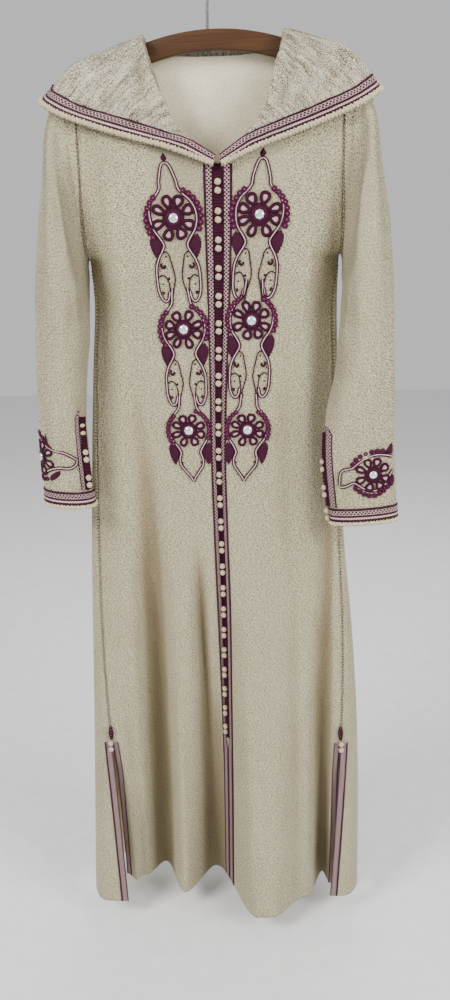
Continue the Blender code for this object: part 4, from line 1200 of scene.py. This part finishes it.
def build_slits():
    """The braids of the four edges of the side slits, and a pair of knots and a small tassel at each top."""
    for side in (-1, 1):
        name = "slit_braid_front_" + side_name(side)
        down = np.linspace(SLIT_TOP, HEM - 0.0008, 150)[:, None]
        x = front_edge(side, down)[0] - side * SLIT_BRAID * (1 - NARROW_BRAID["share"][None])
        points, _ = front_point(x, down, NARROW_BRAID["lift"][None])
        braid(name + "_sewn", points, NARROW_BRAID, side < 0, name)
        name = "slit_braid_back_" + side_name(side)
        lines = back_lines(down[:, 0], shoulder(ARMHOLE_X) + 0 * down[:, 0])
        lines = lines if side < 0 else lines[:, ::-1]
        flat = picked(lines, (SLIT_BRAID + SEAM_TURN) * NARROW_BRAID["share"] + 0 * down)
        grid = np.concatenate([flat, np.broadcast_to(-down[:, None], flat.shape[:2] + (1,))], -1)
        braid(name + "_sewn", raised(grid, NARROW_BRAID, side < 0), NARROW_BRAID, side < 0, name)
    for side in (-1, 1):
        x, y = float(seam_x(side, SLIT_TOP)), float(seam_y(side, SLIT_TOP))
        out = unit(np.array([[0.25 * side, -1.0, 0.0]]))
        downs = SLIT_TOP + 0.006 + np.array([-0.5, 0.5]) * KNOT_APART
        centres = np.array([[x, y, -d] for d in downs]) + out * KNOT_SEAT
        made = knots("slit_knots_" + side_name(side), centres, out.repeat(2, 0))
        finished(made, "cream_cord", "slit_knot_" + side_name(side))
        parts = []
        for k in range(5):
            turn = whole_turn(16)
            across = x + 0.0042 * (1 - abs(k - 2) / 4) * np.cos(turn)
            high = -(SLIT_TOP - 0.010 - 0.0052 * k) + 0.0022 * np.sin(turn)
            ring = np.stack([across, np.full(16, y - 0.0030), high], -1)
            parts.append(cord_tube(ring, np.broadcast_to(out, ring.shape), 0.0013, closed=True))
        finished(mesh_object("slit_tassel_" + side_name(side), *joined(parts), PURPLE), "purple_thread")


# The sleeves' cuffs

def sleeve_face(side, share, turn, lift):
    """Points lifted off the sleeve's face, and its outward normals there."""
    step = 1e-4
    share = np.clip(share, step, 1 - step)
    point = sleeve_points(side, share, turn)
    along = sleeve_points(side, share + step, turn) - sleeve_points(side, share - step, turn)
    round_it = sleeve_points(side, share, turn + step) - sleeve_points(side, share, turn - step)
    out = unit(np.cross(along, round_it)) * (-1 if side > 0 else 1)
    return point + out * np.broadcast_to(lift, point.shape[:-1])[..., None], out


def sleeve_place(side, x, down):
    """The share and turn of the sleeve's front half where it has the given place, by Newton's steps."""
    share, turn = np.full(len(x), 0.9), np.full(len(x), math.pi / 2)
    step = 1e-4
    for _ in range(14):
        here = sleeve_points(side, share, turn)
        by_share = (sleeve_points(side, share + step, turn) - here)[:, ::2].T / step
        by_turn = (sleeve_points(side, share, turn + step) - here)[:, ::2].T / step
        miss = (np.stack([x, -down], -1) - here[:, ::2]).T
        size = by_share[0] * by_turn[1] - by_share[1] * by_turn[0]
        share = np.clip(share + 0.8 * (miss[0] * by_turn[1] - miss[1] * by_turn[0]) / size, 0.5, 1)
        turn = np.clip(turn + 0.8 * (by_share[0] * miss[1] - by_share[1] * miss[0]) / size, 0.06, 3.08)
    return share, turn


def build_cuffs():
    """Each cuff's band and edging, and up its slit the braid, the loops and three pairs of knots."""
    for side in (-1, 1):
        name = side_name(side)
        heights = SLEEVE[side]["out_down"]
        last = SLEEVE_SPANS * (heights[-1] - heights[-2])
        band_from = 1 - CUFF_BAND / last
        start, split, stop = np.radians([CUFF_STRIP_TURN[side], STRIP_SPLIT[side], STRIP_END[side]])
        turn = np.linspace(split - 2 * math.pi, split, 170)
        share = band_from + (1 - band_from) * WIDE_BRAID["share"]
        grid, _ = sleeve_face(side, share[None], turn[:, None], WIDE_BRAID["lift"][None])
        braid("cuff_band_" + name + "_sewn", grid, WIDE_BRAID, side < 0, "cuff_band_" + name)
        path, out = sleeve_face(side, 1 - 0.0035 / last, whole_turn(419), 0.0012)
        finished(gimp("cuff_edging_" + name, path, out, closed=True), "cream_cord")
        rows = np.linspace(0, 1, 90)[:, None]
        share = STRIP_TOP[side] + (band_from - STRIP_TOP[side]) * rows
        arch = np.sqrt(np.clip(rows / 0.16, 0, 1))
        turn = split + STRIP_WIDE[side] * (start - split) * (1 - NARROW_BRAID["share"][None]) * arch
        grid, _ = sleeve_face(side, share, turn, NARROW_BRAID["lift"][None])
        braid("cuff_braid_" + name, grid, NARROW_BRAID, side > 0)
        rows = np.linspace(0, 1, 260)[:, None]
        top = STRIP_TOP[side] + 0.02
        share = top + (band_from - top) * rows
        across = np.sin(np.linspace(-1, 1, 13) * math.pi / 2)[None]
        lift = loop_lift(np.abs(np.sin(rows * math.pi * CUFF_LOOPS)), across, LOOPS_PROUD[side])
        grid, _ = sleeve_face(side, share, split + (stop - split) * (across + 1) / 2, lift)
        made = grid_object("cuff_loops_" + name + "_laid", grid, PURPLE, flip=side > 0)
        finished(made, "purple_thread", "cuff_loops_" + name)
        column = math.radians(np.interp(CUFF_KNOT_COLUMN[side], (5, 8), (CUFF_STRIP_TURN[side], 180)))
        dense = np.linspace(0.6, 1, 400)
        drop = -sleeve_points(side, dense, column)[:, 2]
        share = np.interp(in_pairs(np.array(CUFF_KNOTS[side])), drop, dense)
        centre, out = sleeve_face(side, share, np.full(6, column), KNOT_SEAT)
        made = knots("cuff_knots_" + name, centre, out)
        finished(made, "cream_cord", *[f"cuff_knot_{name}_{i + 1}" for i in range(3)])


def gimp(name, path, out, closed=False, radius=EDGING_RADIUS):
    """A fluffy twisted edging: a cord whose rounds swell and turn along it."""
    step = np.linalg.norm(np.diff(path, axis=0), axis=1)
    length = np.concatenate([[0], np.cumsum(step)])[:, None]
    turn = whole_turn(9)[None]
    swell = 1 + 0.26 * np.sin(length * 2 * math.pi / 0.0052 + turn) + 0.14 * np.sin(length * 760 - 2 * turn)
    size = radius * swell
    if not closed:
        size[[0, -1]] = 0
    return mesh_object(name, *tube(path, out, size, 0.8, closed), GIMP)


def build_hood_trim():
    """The braid inside the hood's rim, and the gimp along its edge."""
    def band(total):
        """Lengths across the braid, for each line's total."""
        trim = np.minimum(HOOD_TRIM, total * 0.80)[:, None]
        return total[:, None] - trim * (1 - WIDE_BRAID["share"][None])
    braid("hood_band", raised(hood_face(420, band), WIDE_BRAID, False), WIDE_BRAID, False, "hood_trim")
    grid = hood_face(1500, lambda total: total[:, None] - np.array([[0.0060, 0.0040, 0.0020]]))
    out = normals(grid)[:, 1]
    finished(gimp("hood_edging", grid[:, 1] + out * 0.0012, out, radius=HOOD_EDGING), "cream_cord")


# The chest's embroidery. Each figure is given beside a medallion's centre in mm, sideways and down

LEAF = ((17.5, 37), (21, 46), (27, 56), (31.5, 70), (32, 88), (31, 102), (27, 113), (21.5, 117),
        (17, 112), (15, 101))
RING = ((28, -24), (33.5, -12), (34, 2), (30, 16), (22, 28))
ARCH = ((0, -75.5), (3.8, -74), (6.8, -69), (9.5, -61), (12.5, -50), (13.5, -41), (19, -33)) + RING + LEAF
LINK = ((12, -64), (13.5, -52), (15, -41), (20, -33)) + RING + LEAF
ENDING = LINK[:4] + RING + ((17, 36), (20, 46), (19, 57), (11, 68), (4, 77), (0, 85))
INNER = ((24, 52), (18, 46), (12, 50), (9, 62), (6, 76), (5.5, 86), (8, 96), (10, 104), (12, 114),
         (13, 124))
VEIN = ((30.5, 83), (24, 79), (18, 83), (15, 91), (14.5, 100), (16.5, 109))
FINIAL = ((0, -89), (2.2, -86), (4.2, -82), (3, -78.5), (0, -76.5), (-3, -78.5), (-4.2, -82),
          (-2.2, -86))
WEDGE = ((33, 21), (38, 31), (36, 44), (29, 56), (23, 46), (18.5, 37), (24, 28))
TUFTS = {(-1, -1): (-45, 40), (-1, 1): (-68, 22), (1, -1): (-58, 22), (1, 1): (-58, 24)}
CURLS = table("across down size turns start thick", (20.5, 66, 4.6, 0.85, -70, 1.7),
              (25.5, 104, 2.4, 1.0, 60, 0.9))
DOTS = table("across down size", (16, 53, 1.5), (14.5, 84, 1.9), (24, 92, 1.4), (27, 71, 1.1))

# The lines that the medallions of each side hang on
CHEST_LINE = {
    -1: table("down x", (0.255, -0.0665), (0.342, -0.0540), (0.500, -0.0450), (0.655, -0.0430),
              (0.740, -0.0375)),
    1: table("down x", (0.250, 0.0775), (0.340, 0.0710), (0.489, 0.0575), (0.655, 0.0490), (0.740, 0.0418)),
}


def column_x(side, down):
    """The line that one side's medallions hang on."""
    tab = CHEST_LINE[side]
    return np.interp(down, tab["down"], tab["x"])


def chest_path(side, index, points, flank):
    """A figure's points beside a medallion, in metres across and down."""
    points = np.array(points, float)
    rows = np.flatnonzero(MEDALLIONS["column"] == side)
    centre = MEDALLIONS["down"][rows[index]]
    size = (MEDALLIONS["radius"][rows[index]] / FULL_RADIUS * 0.5 + 0.5) / 1000
    span = (0.98 if index else 1.0) / 1000
    down = centre + points[:, 1] * np.where(points[:, 1] > 33, span, size)
    return np.stack([column_x(side, down) + flank * points[:, 0] * size, down], -1)


def spiral(centre, size, turns, start, flank):
    """A flat spiral that draws in towards its centre."""
    angle = np.linspace(0, 2 * math.pi * turns, int(14 * turns) + 4)
    reach = size * (1 - 0.72 * angle / angle[-1])
    angle = angle + math.radians(start)
    return np.stack([centre[0] + flank * reach * np.cos(angle), centre[1] + reach * np.sin(angle)], -1)


def double_cord(path, place, work):
    """Two thin purple cords with a pale one between them."""
    work["pale"].append(cord_tube(*place(path, 0.0009), CORD_CORE))
    for apart in (-CORD_APART, CORD_APART):
        work["dark"].append(cord_tube(*place(beside_path(path, apart), 0.0010), CORD_SIDE))


def single_cord(path, place, into, radius=0.0009):
    """One thin cord."""
    into.append(cord_tube(*place(path, 0.0008), radius))


def spokes(out, count):
    """Directions along the cloth that turn evenly round each outward normal."""
    turn = whole_turn(count)
    a = unit(np.cross(out, np.array([0.0, 0.0, 1.0])))
    b = np.cross(out, a)
    return np.cos(turn)[:, None] * a[:, None] + np.sin(turn)[:, None] * b[:, None]


def rings(centres, out, size, thick):
    """Small rings of cord lying on the cloth, all alike."""
    round_it = whole_turn(5)
    spoke = spokes(out, 10)
    rim = centres[:, None, None] + size * spoke[:, :, None]
    cord = np.cos(round_it)[:, None] * spoke[:, :, None] + np.sin(round_it)[:, None] * out[:, None, None]
    grid = rim + thick * cord
    grid = np.concatenate([grid, grid[:, :1]], 1)
    faces = grid_faces(11, 5, wrap=True)
    return joined([(ring.reshape(-1, 3), faces) for ring in grid])


def domes(centres, out, size, height, sides=8):
    """Low round domes lying on the cloth: rings from the rim up to a point."""
    rise = np.linspace(0, math.pi / 2, 4)[:, None, None]
    spoke = spokes(out, sides)
    grid = centres[:, None, None] + size * (np.cos(rise) * spoke[:, None]
                                            + height * np.sin(rise) * out[:, None, None])
    faces = grid_faces(4, sides, wrap=True, flip=True)
    return joined([(dome.reshape(-1, 3), faces) for dome in grid])


def patch(rim, middle, place, low, high):
    """A raised patch: rings from its rim to its middle, rising by high from low in a parabola."""
    shares = np.linspace(1, 0, 5)[:, None, None]
    lift = np.repeat(low + high * (1 - shares[:, 0, 0] ** 2), len(rim))
    points, _ = place((middle + (rim - middle) * shares).reshape(-1, 2), lift)
    return points, grid_faces(5, len(rim), wrap=True)


def rosette(place, centre, size, crystal, work):
    """A medallion: keyhole petals of purple cord with pale satin inside, round a disc with a crystal."""
    for k in range(PETALS):
        uneven = math.sin(5.1 * k + 900 * centre[1])
        angle = math.radians(22.5) + 2 * math.pi * k / PETALS + 0.09 * uneven
        phi = whole_turn(24)
        reach = size * (0.0232 + (0.0080 + 0.0008 * uneven) * np.cos(phi))
        aside = size * 0.0052 * np.sin(phi) * (1 + 0.45 * np.cos(phi)) * (1 - 0.14 * uneven)
        across = np.array([math.cos(angle), math.sin(angle)])
        beside = np.array([-across[1], across[0]])
        path = np.array(centre) + reach[:, None] * across + aside[:, None] * beside
        work["dark"].append(cord_tube(*place(path, 0.0014), PETAL_CORD * size, closed=True, low=0.8))
        work["satin"].append(patch(path, path.mean(0), place, 0.0010, 0.0008))
    point, out = place(np.array([centre]), 0.0008)
    work["dots"].append(domes(point, out, 0.0162 * size, 0.12, sides=28))
    point, out = place(np.array([centre]), 0.0022)
    work["stones"].append(domes(point, out, crystal, 0.42))


def filled(outline, place, tooth=0.06):
    """A raised satin-stitched patch in a smooth closed outline, toothed by its stitches."""
    turn = np.linspace(0, len(outline), 49)[:-1]
    rim = curve_at(np.concatenate([outline, outline[:1]]), turn)
    middle = rim.mean(0)
    rim = middle + (rim - middle) * (1 + tooth * np.tile([1, -1], 24))[:, None]
    points, faces = patch(rim, middle, place, 0.0004, 0.0016)
    a, b, c = points[faces[0, :3]]
    turned = np.cross(b - a, c - a)[1] > 0
    return points, faces[:, ::-1] if turned else faces


def beads(place, at, lift, size, thick, work):
    """Small rings of beadwork at flat points."""
    point, out = place(at, lift)
    work["tufts"].append(rings(point, out, size, thick))
    return point, out


def flank_figures(side, index, flank, work):
    """What lies on one flank of a medallion of the chest: cords, a satin wedge, scrolls, dots and beads."""
    row = np.flatnonzero(MEDALLIONS["column"] == side)[index]
    centre = (float(MEDALLIONS["x"][row]), float(MEDALLIONS["down"][row]))
    size = float(MEDALLIONS["radius"][row]) / FULL_RADIUS
    figure = (ARCH, LINK, ENDING)[index]
    double_cord(smooth_path(chest_path(side, index, figure, flank)), on_front, work)
    if index < 2:
        for line in (INNER, VEIN):
            single_cord(smooth_path(chest_path(side, index, line, flank)), on_front, work["dark"])
    work["solid"].append(filled(chest_path(side, index, WEDGE, flank), on_front))
    for across, down, reach, turns, start, thick in zip(*CURLS.values()):
        if index < 2:
            middle = chest_path(side, index, [(across, down)], flank)[0]
            path = spiral(middle, reach / 1000, turns, start, flank)
            single_cord(path, on_front, work["dark"], thick / 1000)
    for across, down, reach in zip(*DOTS.values()):
        if index < 2 or down < 60:
            point, out = on_front(chest_path(side, index, [(across, down)], flank), 0.0)
            work["dots"].append(domes(point, out, reach / 1000, 0.7))
    angle = np.radians(np.linspace(*TUFTS[side, flank], BEADS))
    reach = 0.0402 * size
    at = np.stack([centre[0] + flank * reach * np.cos(angle), centre[1] + reach * np.sin(angle)], -1)
    point, out = beads(on_front, at, 0.0012, 0.0026 * size, 0.0021, work)
    # A small pale pink dome on top of each bead: a painted highlight
    work["glints"].append(domes(point + 0.0007 * out, out, 0.0007, 0.9))


def build_embroidery():
    """The chest's two columns and the cuffs' motifs, gathered in one mesh for each kind of thread."""
    work = {kind: [] for kind in ("dark", "pale", "satin", "solid", "dots", "tufts", "glints", "stones")}
    for side in (-1, 1):
        for index in range(3):
            row = np.flatnonzero(MEDALLIONS["column"] == side)[index]
            centre = (float(MEDALLIONS["x"][row]), float(MEDALLIONS["down"][row]))
            size = float(MEDALLIONS["radius"][row]) / FULL_RADIUS
            for flank in (-1, 1):
                flank_figures(side, index, flank, work)
            rosette(on_front, centre, size, CRYSTAL, work)
            turn = whole_turn(16)
            at = np.array(centre) + 0.0092 * np.stack([np.cos(turn), np.sin(turn)], -1)
            work["tufts"].append(cord_tube(*on_front(at, 0.0022), 0.0012, closed=True))
        work["solid"].append(filled(chest_path(side, 0, FINIAL, 1), on_front))
    for side in (-1, 1):
        cuff_motif(side, work)
    medallions = [f"medallion_{side_name(side)}_{i}" for side in (-1, 1) for i in (1, 2, 3)]
    for name, kind, thread, slot_name, nodes in (
            ("embroidery_purple_cord", "dark", PURPLE, "purple_thread", medallions),
            ("embroidery_pale_cord", "pale", PINK_CORD, "braid", ()),
            ("petal_satin", "satin", SATIN, "braid", ()),
            ("satin_wedges", "solid", PURPLE_SATIN, "purple_thread", ()),
            ("embroidery_dots", "dots", PURPLE, "purple_thread", ()),
            ("bead_tufts", "tufts", BEADED, "purple_thread", ()),
            # bead_glints are the painted highlights of the beads
            ("bead_glints", "glints", SATIN, "braid", ()),
            ("crystals", "stones", CRYSTAL_FINISH, "braid", ())):
        made = mesh_object(name, *joined(work[kind]), thread, smooth=kind != "stones")
        finished(made, slot_name, *nodes)


# The motifs of the cuffs: where each is on its sleeve, across and down, and how far its middle lies
# beyond that place round the sleeve. The lines of cord and of beads and the satin patches are given
# beside its middle in mm, sideways and down
CUFF_ANCHOR = {-1: (-0.2154, 0.694), 1: (0.239, 0.7173)}
CUFF_OFFSET = {-1: np.array([0.0636, 0.0]), 1: np.zeros(2)}
CUFF_SIZE = 0.84
CUFF_LINES = {
    -1: (((-63.6, 0), (-58, -5), (-45, -12), (-30, -14), (-16, -19), (-5, -28), (8, -31), (22, -28),
          (34, -22)),
         ((-63.6, 0), (-60, 7), (-50, 12), (-34, 12), (-18, 17), (-6, 24), (6, 25), (18, 19), (26, 8),
          (33, -4))),
    1: (((-51.6, 15), (-49, -3), (-43.6, -10), (-30.6, -13), (-21, -20.6), (-9.6, -28), (5.7, -31.7),
         (21, -29), (34, -24)),
        ((-51.6, 17), (-42, 15.7), (-30.6, 11), (-23, 14.7), (-13.4, 21.4), (0, 24.7), (11.5, 21.4),
         (21, 12.8), (26.8, 2.3), (33, -4.4))),
}
CUFF_BEADS = {
    -1: (((-8, -32), (2, -38), (16, -36.5)), ((-12, 31), (2, 33), (13, 28), (22, 22))),
    1: (((-30, -19), (-23, -28), (-11.5, -35), (2, -38), (16, -36.5)),
        ((-28, 19), (-20, 26), (-10, 31), (2, 32), (13, 27.5), (22, 21.5))),
}
CUFF_PATCHES = {
    -1: (((-15, -42), (-18, -26), (-27, -17), (-20, -15), (-12, -22)),
         ((-36, 15), (-28, 19), (-18, 26), (-18, 33), (-28, 29), (-36, 21))),
    1: (((18, -32), (25, -41), (31, -48), (34, -40), (33, -30), (26, -30)),
        ((22, 16), (28, 6), (33, 4), (35, 14), (31, 21), (24, 21))),
}


def cuff_place(side):
    """Puts points (metres beside a cuff motif's middle, across and down) onto the sleeve's face by arc."""
    share, turn = (value[0] for value in sleeve_place(side, *np.array([CUFF_ANCHOR[side]]).T))
    sweep = np.linspace(-math.pi, math.pi, 721)
    loop = sleeve_points(side, share, turn + sweep)
    arc = np.concatenate([[0], np.cumsum(np.linalg.norm(np.diff(loop, axis=0), axis=1))])
    arc = arc - arc[360]
    pair = sleeve_points(side, np.array([share - 0.01, share + 0.01]), turn)
    length = np.linalg.norm(pair[1] - pair[0]) / 0.02

    def place(path, lift):
        """Points and normals of a flat path, lifted off the sleeve."""
        path = path + CUFF_OFFSET[side]
        turned = turn + np.interp(-path[:, 0], arc, sweep)
        return sleeve_face(side, share + path[:, 1] / length, turned, lift)
    return place


def cuff_motif(side, work):
    """A cuff's medallion in an outline whose tongue points to the slit, with beads above and below."""
    place = cuff_place(side)
    rosette(place, (0.0, 0.0), CUFF_SIZE, CRYSTAL * CUFF_SIZE, work)
    for line in CUFF_LINES[side]:
        double_cord(smooth_path(np.array(line, float) / 1000), place, work)
    for line in CUFF_BEADS[side]:
        beads(place, smooth_path(np.array(line, float) / 1000, 0.0068), 0.0012, 0.0023, 0.0019, work)
    for outline in CUFF_PATCHES[side]:
        work["solid"].append(filled(np.array(outline, float) / 1000, place))


# Whip stitches over the seams

def whip(path, out, pitch=STITCH_PITCH, long=STITCH_LONG, skew=0.35):
    """Slanting stitches of thick thread over a seam: short bowed cords at an even pitch."""
    total = total_length(path[None])[0]
    places = np.linspace(pitch, total - pitch, max(2, int(total / pitch)))[None]
    at = picked(path[None], places)[0]
    facing = unit(picked(np.concatenate([path, out], 1)[None], places)[0][:, 3:])
    along = unit(np.gradient(at, axis=0))
    across = unit(np.cross(facing, along) + skew * along)
    bow = np.linspace(-1, 1, 6)
    rest = at[:, None] + across[:, None] * (bow * long / 2)[:, None]
    rest = rest + facing[:, None] * (0.0012 * (1 - bow ** 2))[:, None]
    return [cord_tube(stitch, np.broadcast_to(face, stitch.shape), STITCH_RADIUS, sides=5)
            for stitch, face in zip(rest, facing)]


def build_stitches():
    """The whip stitches round the armholes, down the side seams and at the back of the neck."""
    for side in (-1, 1):
        name = side_name(side)
        turn = np.linspace(0.04, 2 * math.pi - 0.04, 160)
        loop = armhole_loops(side, turn)
        path = (loop[0] + loop[1]) / 2
        middle = path.mean(0)
        out = unit((path - middle) * np.array([0, 1, 1]))
        out = unit(out * np.array([1, 1.5, 1]))
        parts = whip(path + out * 0.0006, out)
        down = np.linspace(UNDERARM + 0.012, SLIT_TOP - 0.03, 200)
        seam = np.stack([seam_x(side, down) + side * 0.0008, seam_y(side, down) - 0.0006, -down], -1)
        out = np.broadcast_to(unit(np.array([0.45 * side, -1.0, 0.0])), seam.shape)
        parts += whip(seam, out)
        finished(mesh_object("seam_stitches_" + name, *joined(parts), PURPLE), "purple_thread")
    grid = hood_face(200, lambda total: np.array([[0.0008, 0.0016, 0.0024]]) + 0 * total[:, None])
    out = normals(grid)[:, 1]
    path = grid[:, 1] + out * 0.0006
    parts = whip(path[66:134], out[66:134], pitch=0.0046)
    finished(mesh_object("neck_stitches", *joined(parts), PURPLE), "purple_thread")


# The hanger

def build_hanger():
    """The arched wooden bar, a rounded box that thins to its tips, and the wire hook through its middle."""
    stations = np.linspace(-1, 1, 121)
    x = BAR_CENTRE + BAR_HALF * stations
    end = np.sqrt(np.clip(1 - ((np.abs(stations) - 0.965) / 0.035).clip(0) ** 2, 0, 1))
    tall = BAR_HEIGHT * (1 - 0.22 * stations ** 4) * (0.55 + 0.45 * end)
    thick = BAR_THICK * (0.4 + 0.6 * end)
    angle = whole_turn(32)
    high = np.sign(np.sin(angle)) * np.abs(np.sin(angle)) ** 0.55
    wide = np.sign(np.cos(angle)) * np.abs(np.cos(angle)) ** 0.55
    slope = 2 * BAR_DROP * BAR_HALF * stations
    up = unit(np.stack([slope, np.ones_like(slope)], -1))
    drop = BAR_HEIGHT / 2 - high[None] * tall[:, None] / 2
    grid = np.stack([x[:, None] - up[:, :1] * drop, wide[None] * thick[:, None] / 2,
                     -bar_top(x)[:, None] - up[:, 1:] * drop], -1)
    first, last = (grid[[i]].mean(1, keepdims=True).repeat(32, 1) for i in (0, -1))
    grid = np.concatenate([first, grid, last])
    faces = grid_faces(len(grid), 32, wrap=True, flip=True)
    bar = mesh_object("wooden_bar", grid.reshape(-1, 3), faces, WOOD)
    finished(bar, "wood", "hanger_bar")
    ring = HOOK_INNER + HOOK_WIRE
    turn = np.radians(np.linspace(-62, 196, 60))
    curl = np.stack([ring * np.cos(turn), 0 * turn, -HOOK_INNER + ring * np.sin(turn)], -1)
    stem = through(np.array([(0.0, 0, -0.1205), (0.0, 0, -0.100), (0.0, 0, -0.075), (0.0004, 0, -0.058),
                             (0.0018, 0, -0.049), (0.0055, 0, -0.0405), tuple(curl[0])]), 40)
    path = np.concatenate([stem[:-1], curl])
    out = np.broadcast_to(np.array([0.0, -1.0, 0.0]), path.shape)
    wire = mesh_object("wire_hook", *cord_tube(path, out, HOOK_WIRE, sides=14), WIRE)
    finished(wire, "wire", "hanger_hook")


# Lamps: place, size and watts. The camera's lens in mm, its place, and its turns: to the side, down from
# the level, and about its own line of sight
LAMPS = (
    ("key light", (-2.2, -1.9, 1.3), (1.2, 1.2), 136),
    ("fill light", (2.4, -1.6, 0.4), (1.6, 1.6), 114),
    ("back light", (0.3, 2.2, 0.9), (2.0, 1.2), 22),
)
WORLD_LIGHT = 0.66
LENS = 27.07
CAMERA_PLACE = (0.08, -1.2, -0.4319)
CAMERA_TURNS = ((3.4, "Z"), (90 - 16.2, "X"), (-1.37, "Z"))


def build_studio():
    """A pale floor, soft light from the front and both sides, and the photo's point of view."""
    scene = bpy.context.scene
    corners = [(-6, -5, -FLOOR_DOWN), (6, -5, -FLOOR_DOWN), (6, 7, -FLOOR_DOWN), (-6, 7, -FLOOR_DOWN)]
    floor = mesh_object("floor", corners, [(0, 1, 2, 3)], FLOOR_FINISH, smooth=False)
    for name, place, size, power in LAMPS:
        lamp = bpy.data.lights.new(name, "AREA")
        lamp.shape = "RECTANGLE"
        lamp.size, lamp.size_y = size
        lamp.energy = power
        made = bpy.data.objects.new(name, lamp)
        made.location = place
        aim = Vector((0.0, 0.0, -0.75)) - Vector(place)
        made.rotation_euler = aim.to_track_quat("-Z", "Y").to_euler()
        scene.collection.objects.link(made)
    world = bpy.data.worlds.new("studio")
    world.use_nodes = True
    world.node_tree.nodes["Background"].inputs["Color"].default_value = (0.98, 0.98, 1.0, 1.0)
    world.node_tree.nodes["Background"].inputs["Strength"].default_value = WORLD_LIGHT
    scene.world = world
    lens = bpy.data.cameras.new("camera")
    lens.lens = LENS
    lens.sensor_width = 36.0
    camera = bpy.data.objects.new("camera", lens)
    stand = Matrix.Translation(CAMERA_PLACE)
    for degrees, axis in CAMERA_TURNS:
        stand = stand @ Matrix.Rotation(math.radians(degrees), 4, axis)
    camera.matrix_world = stand
    scene.collection.objects.link(camera)
    scene.camera = camera


# The finishes of all the pieces, with their colours in linear light
# The third colour of each jacquard is the brown shade painted into its folds
CREAM = jacquard("cream jacquard", (1.0, 0.90, 0.60), (0.36, 0.28, 0.14), (0.32, 0.19, 0.06), 0.0020, 7.0)
# The hood's copy of the same cloth has darker colours: painted shade
CREAM_HOOD_SHADED = jacquard("cream jacquard of the hood, painted darker", (0.84, 0.76, 0.56), (0.15, 0.11, 0.065),
                      (0.28, 0.19, 0.10), 0.0020, 2.6, streaks=7.0)
CREAM_REVERSE = reverse_side()
PURPLE_DARK, PURPLE_LIGHT = (0.008, 0.001, 0.004), (0.055, 0.003, 0.020)
PINK_DARK, PINK_LIGHT = (0.40, 0.22, 0.22), (0.86, 0.66, 0.62)
BRAID_MADE = braid_finish("pink and purple braid")
PURPLE = thread_finish("purple cord", (0.008, 0.0005, 0.004), (0.060, 0.002, 0.022))
PURPLE_SATIN = thread_finish("purple satin stitch", (0.010, 0.0005, 0.004), (0.066, 0.002, 0.028),
                             roughness=0.5)
CREAM_CORD = thread_finish("cream knot cord", (0.30, 0.22, 0.14), (0.76, 0.63, 0.44), scale=0.6)
GIMP = thread_finish("cream gimp", (0.14, 0.10, 0.04), (0.95, 0.84, 0.58), scale=0.55)
PINK_CORD = thread_finish("pale pink cord", (0.44, 0.26, 0.29), (0.84, 0.66, 0.65))
SATIN = thread_finish("pink satin stitch", (0.30, 0.17, 0.20), (0.70, 0.50, 0.50), roughness=0.35)
BEADED = thread_finish("purple beadwork", (0.014, 0.0007, 0.007), (0.125, 0.004, 0.056), roughness=0.4)
WOOD = wood_finish()
WIRE = plain_finish("dark wire", (0.09, 0.09, 0.10), 0.35, metallic=1.0)
CRYSTAL_FINISH = crystal_finish()
FLOOR_FINISH = plain_finish("pale floor", (0.86, 0.86, 0.86), 0.9)

build_cloth()
build_placket()
build_slits()
build_cuffs()
build_hood_trim()
build_embroidery()
build_stitches()
build_hanger()
build_studio()
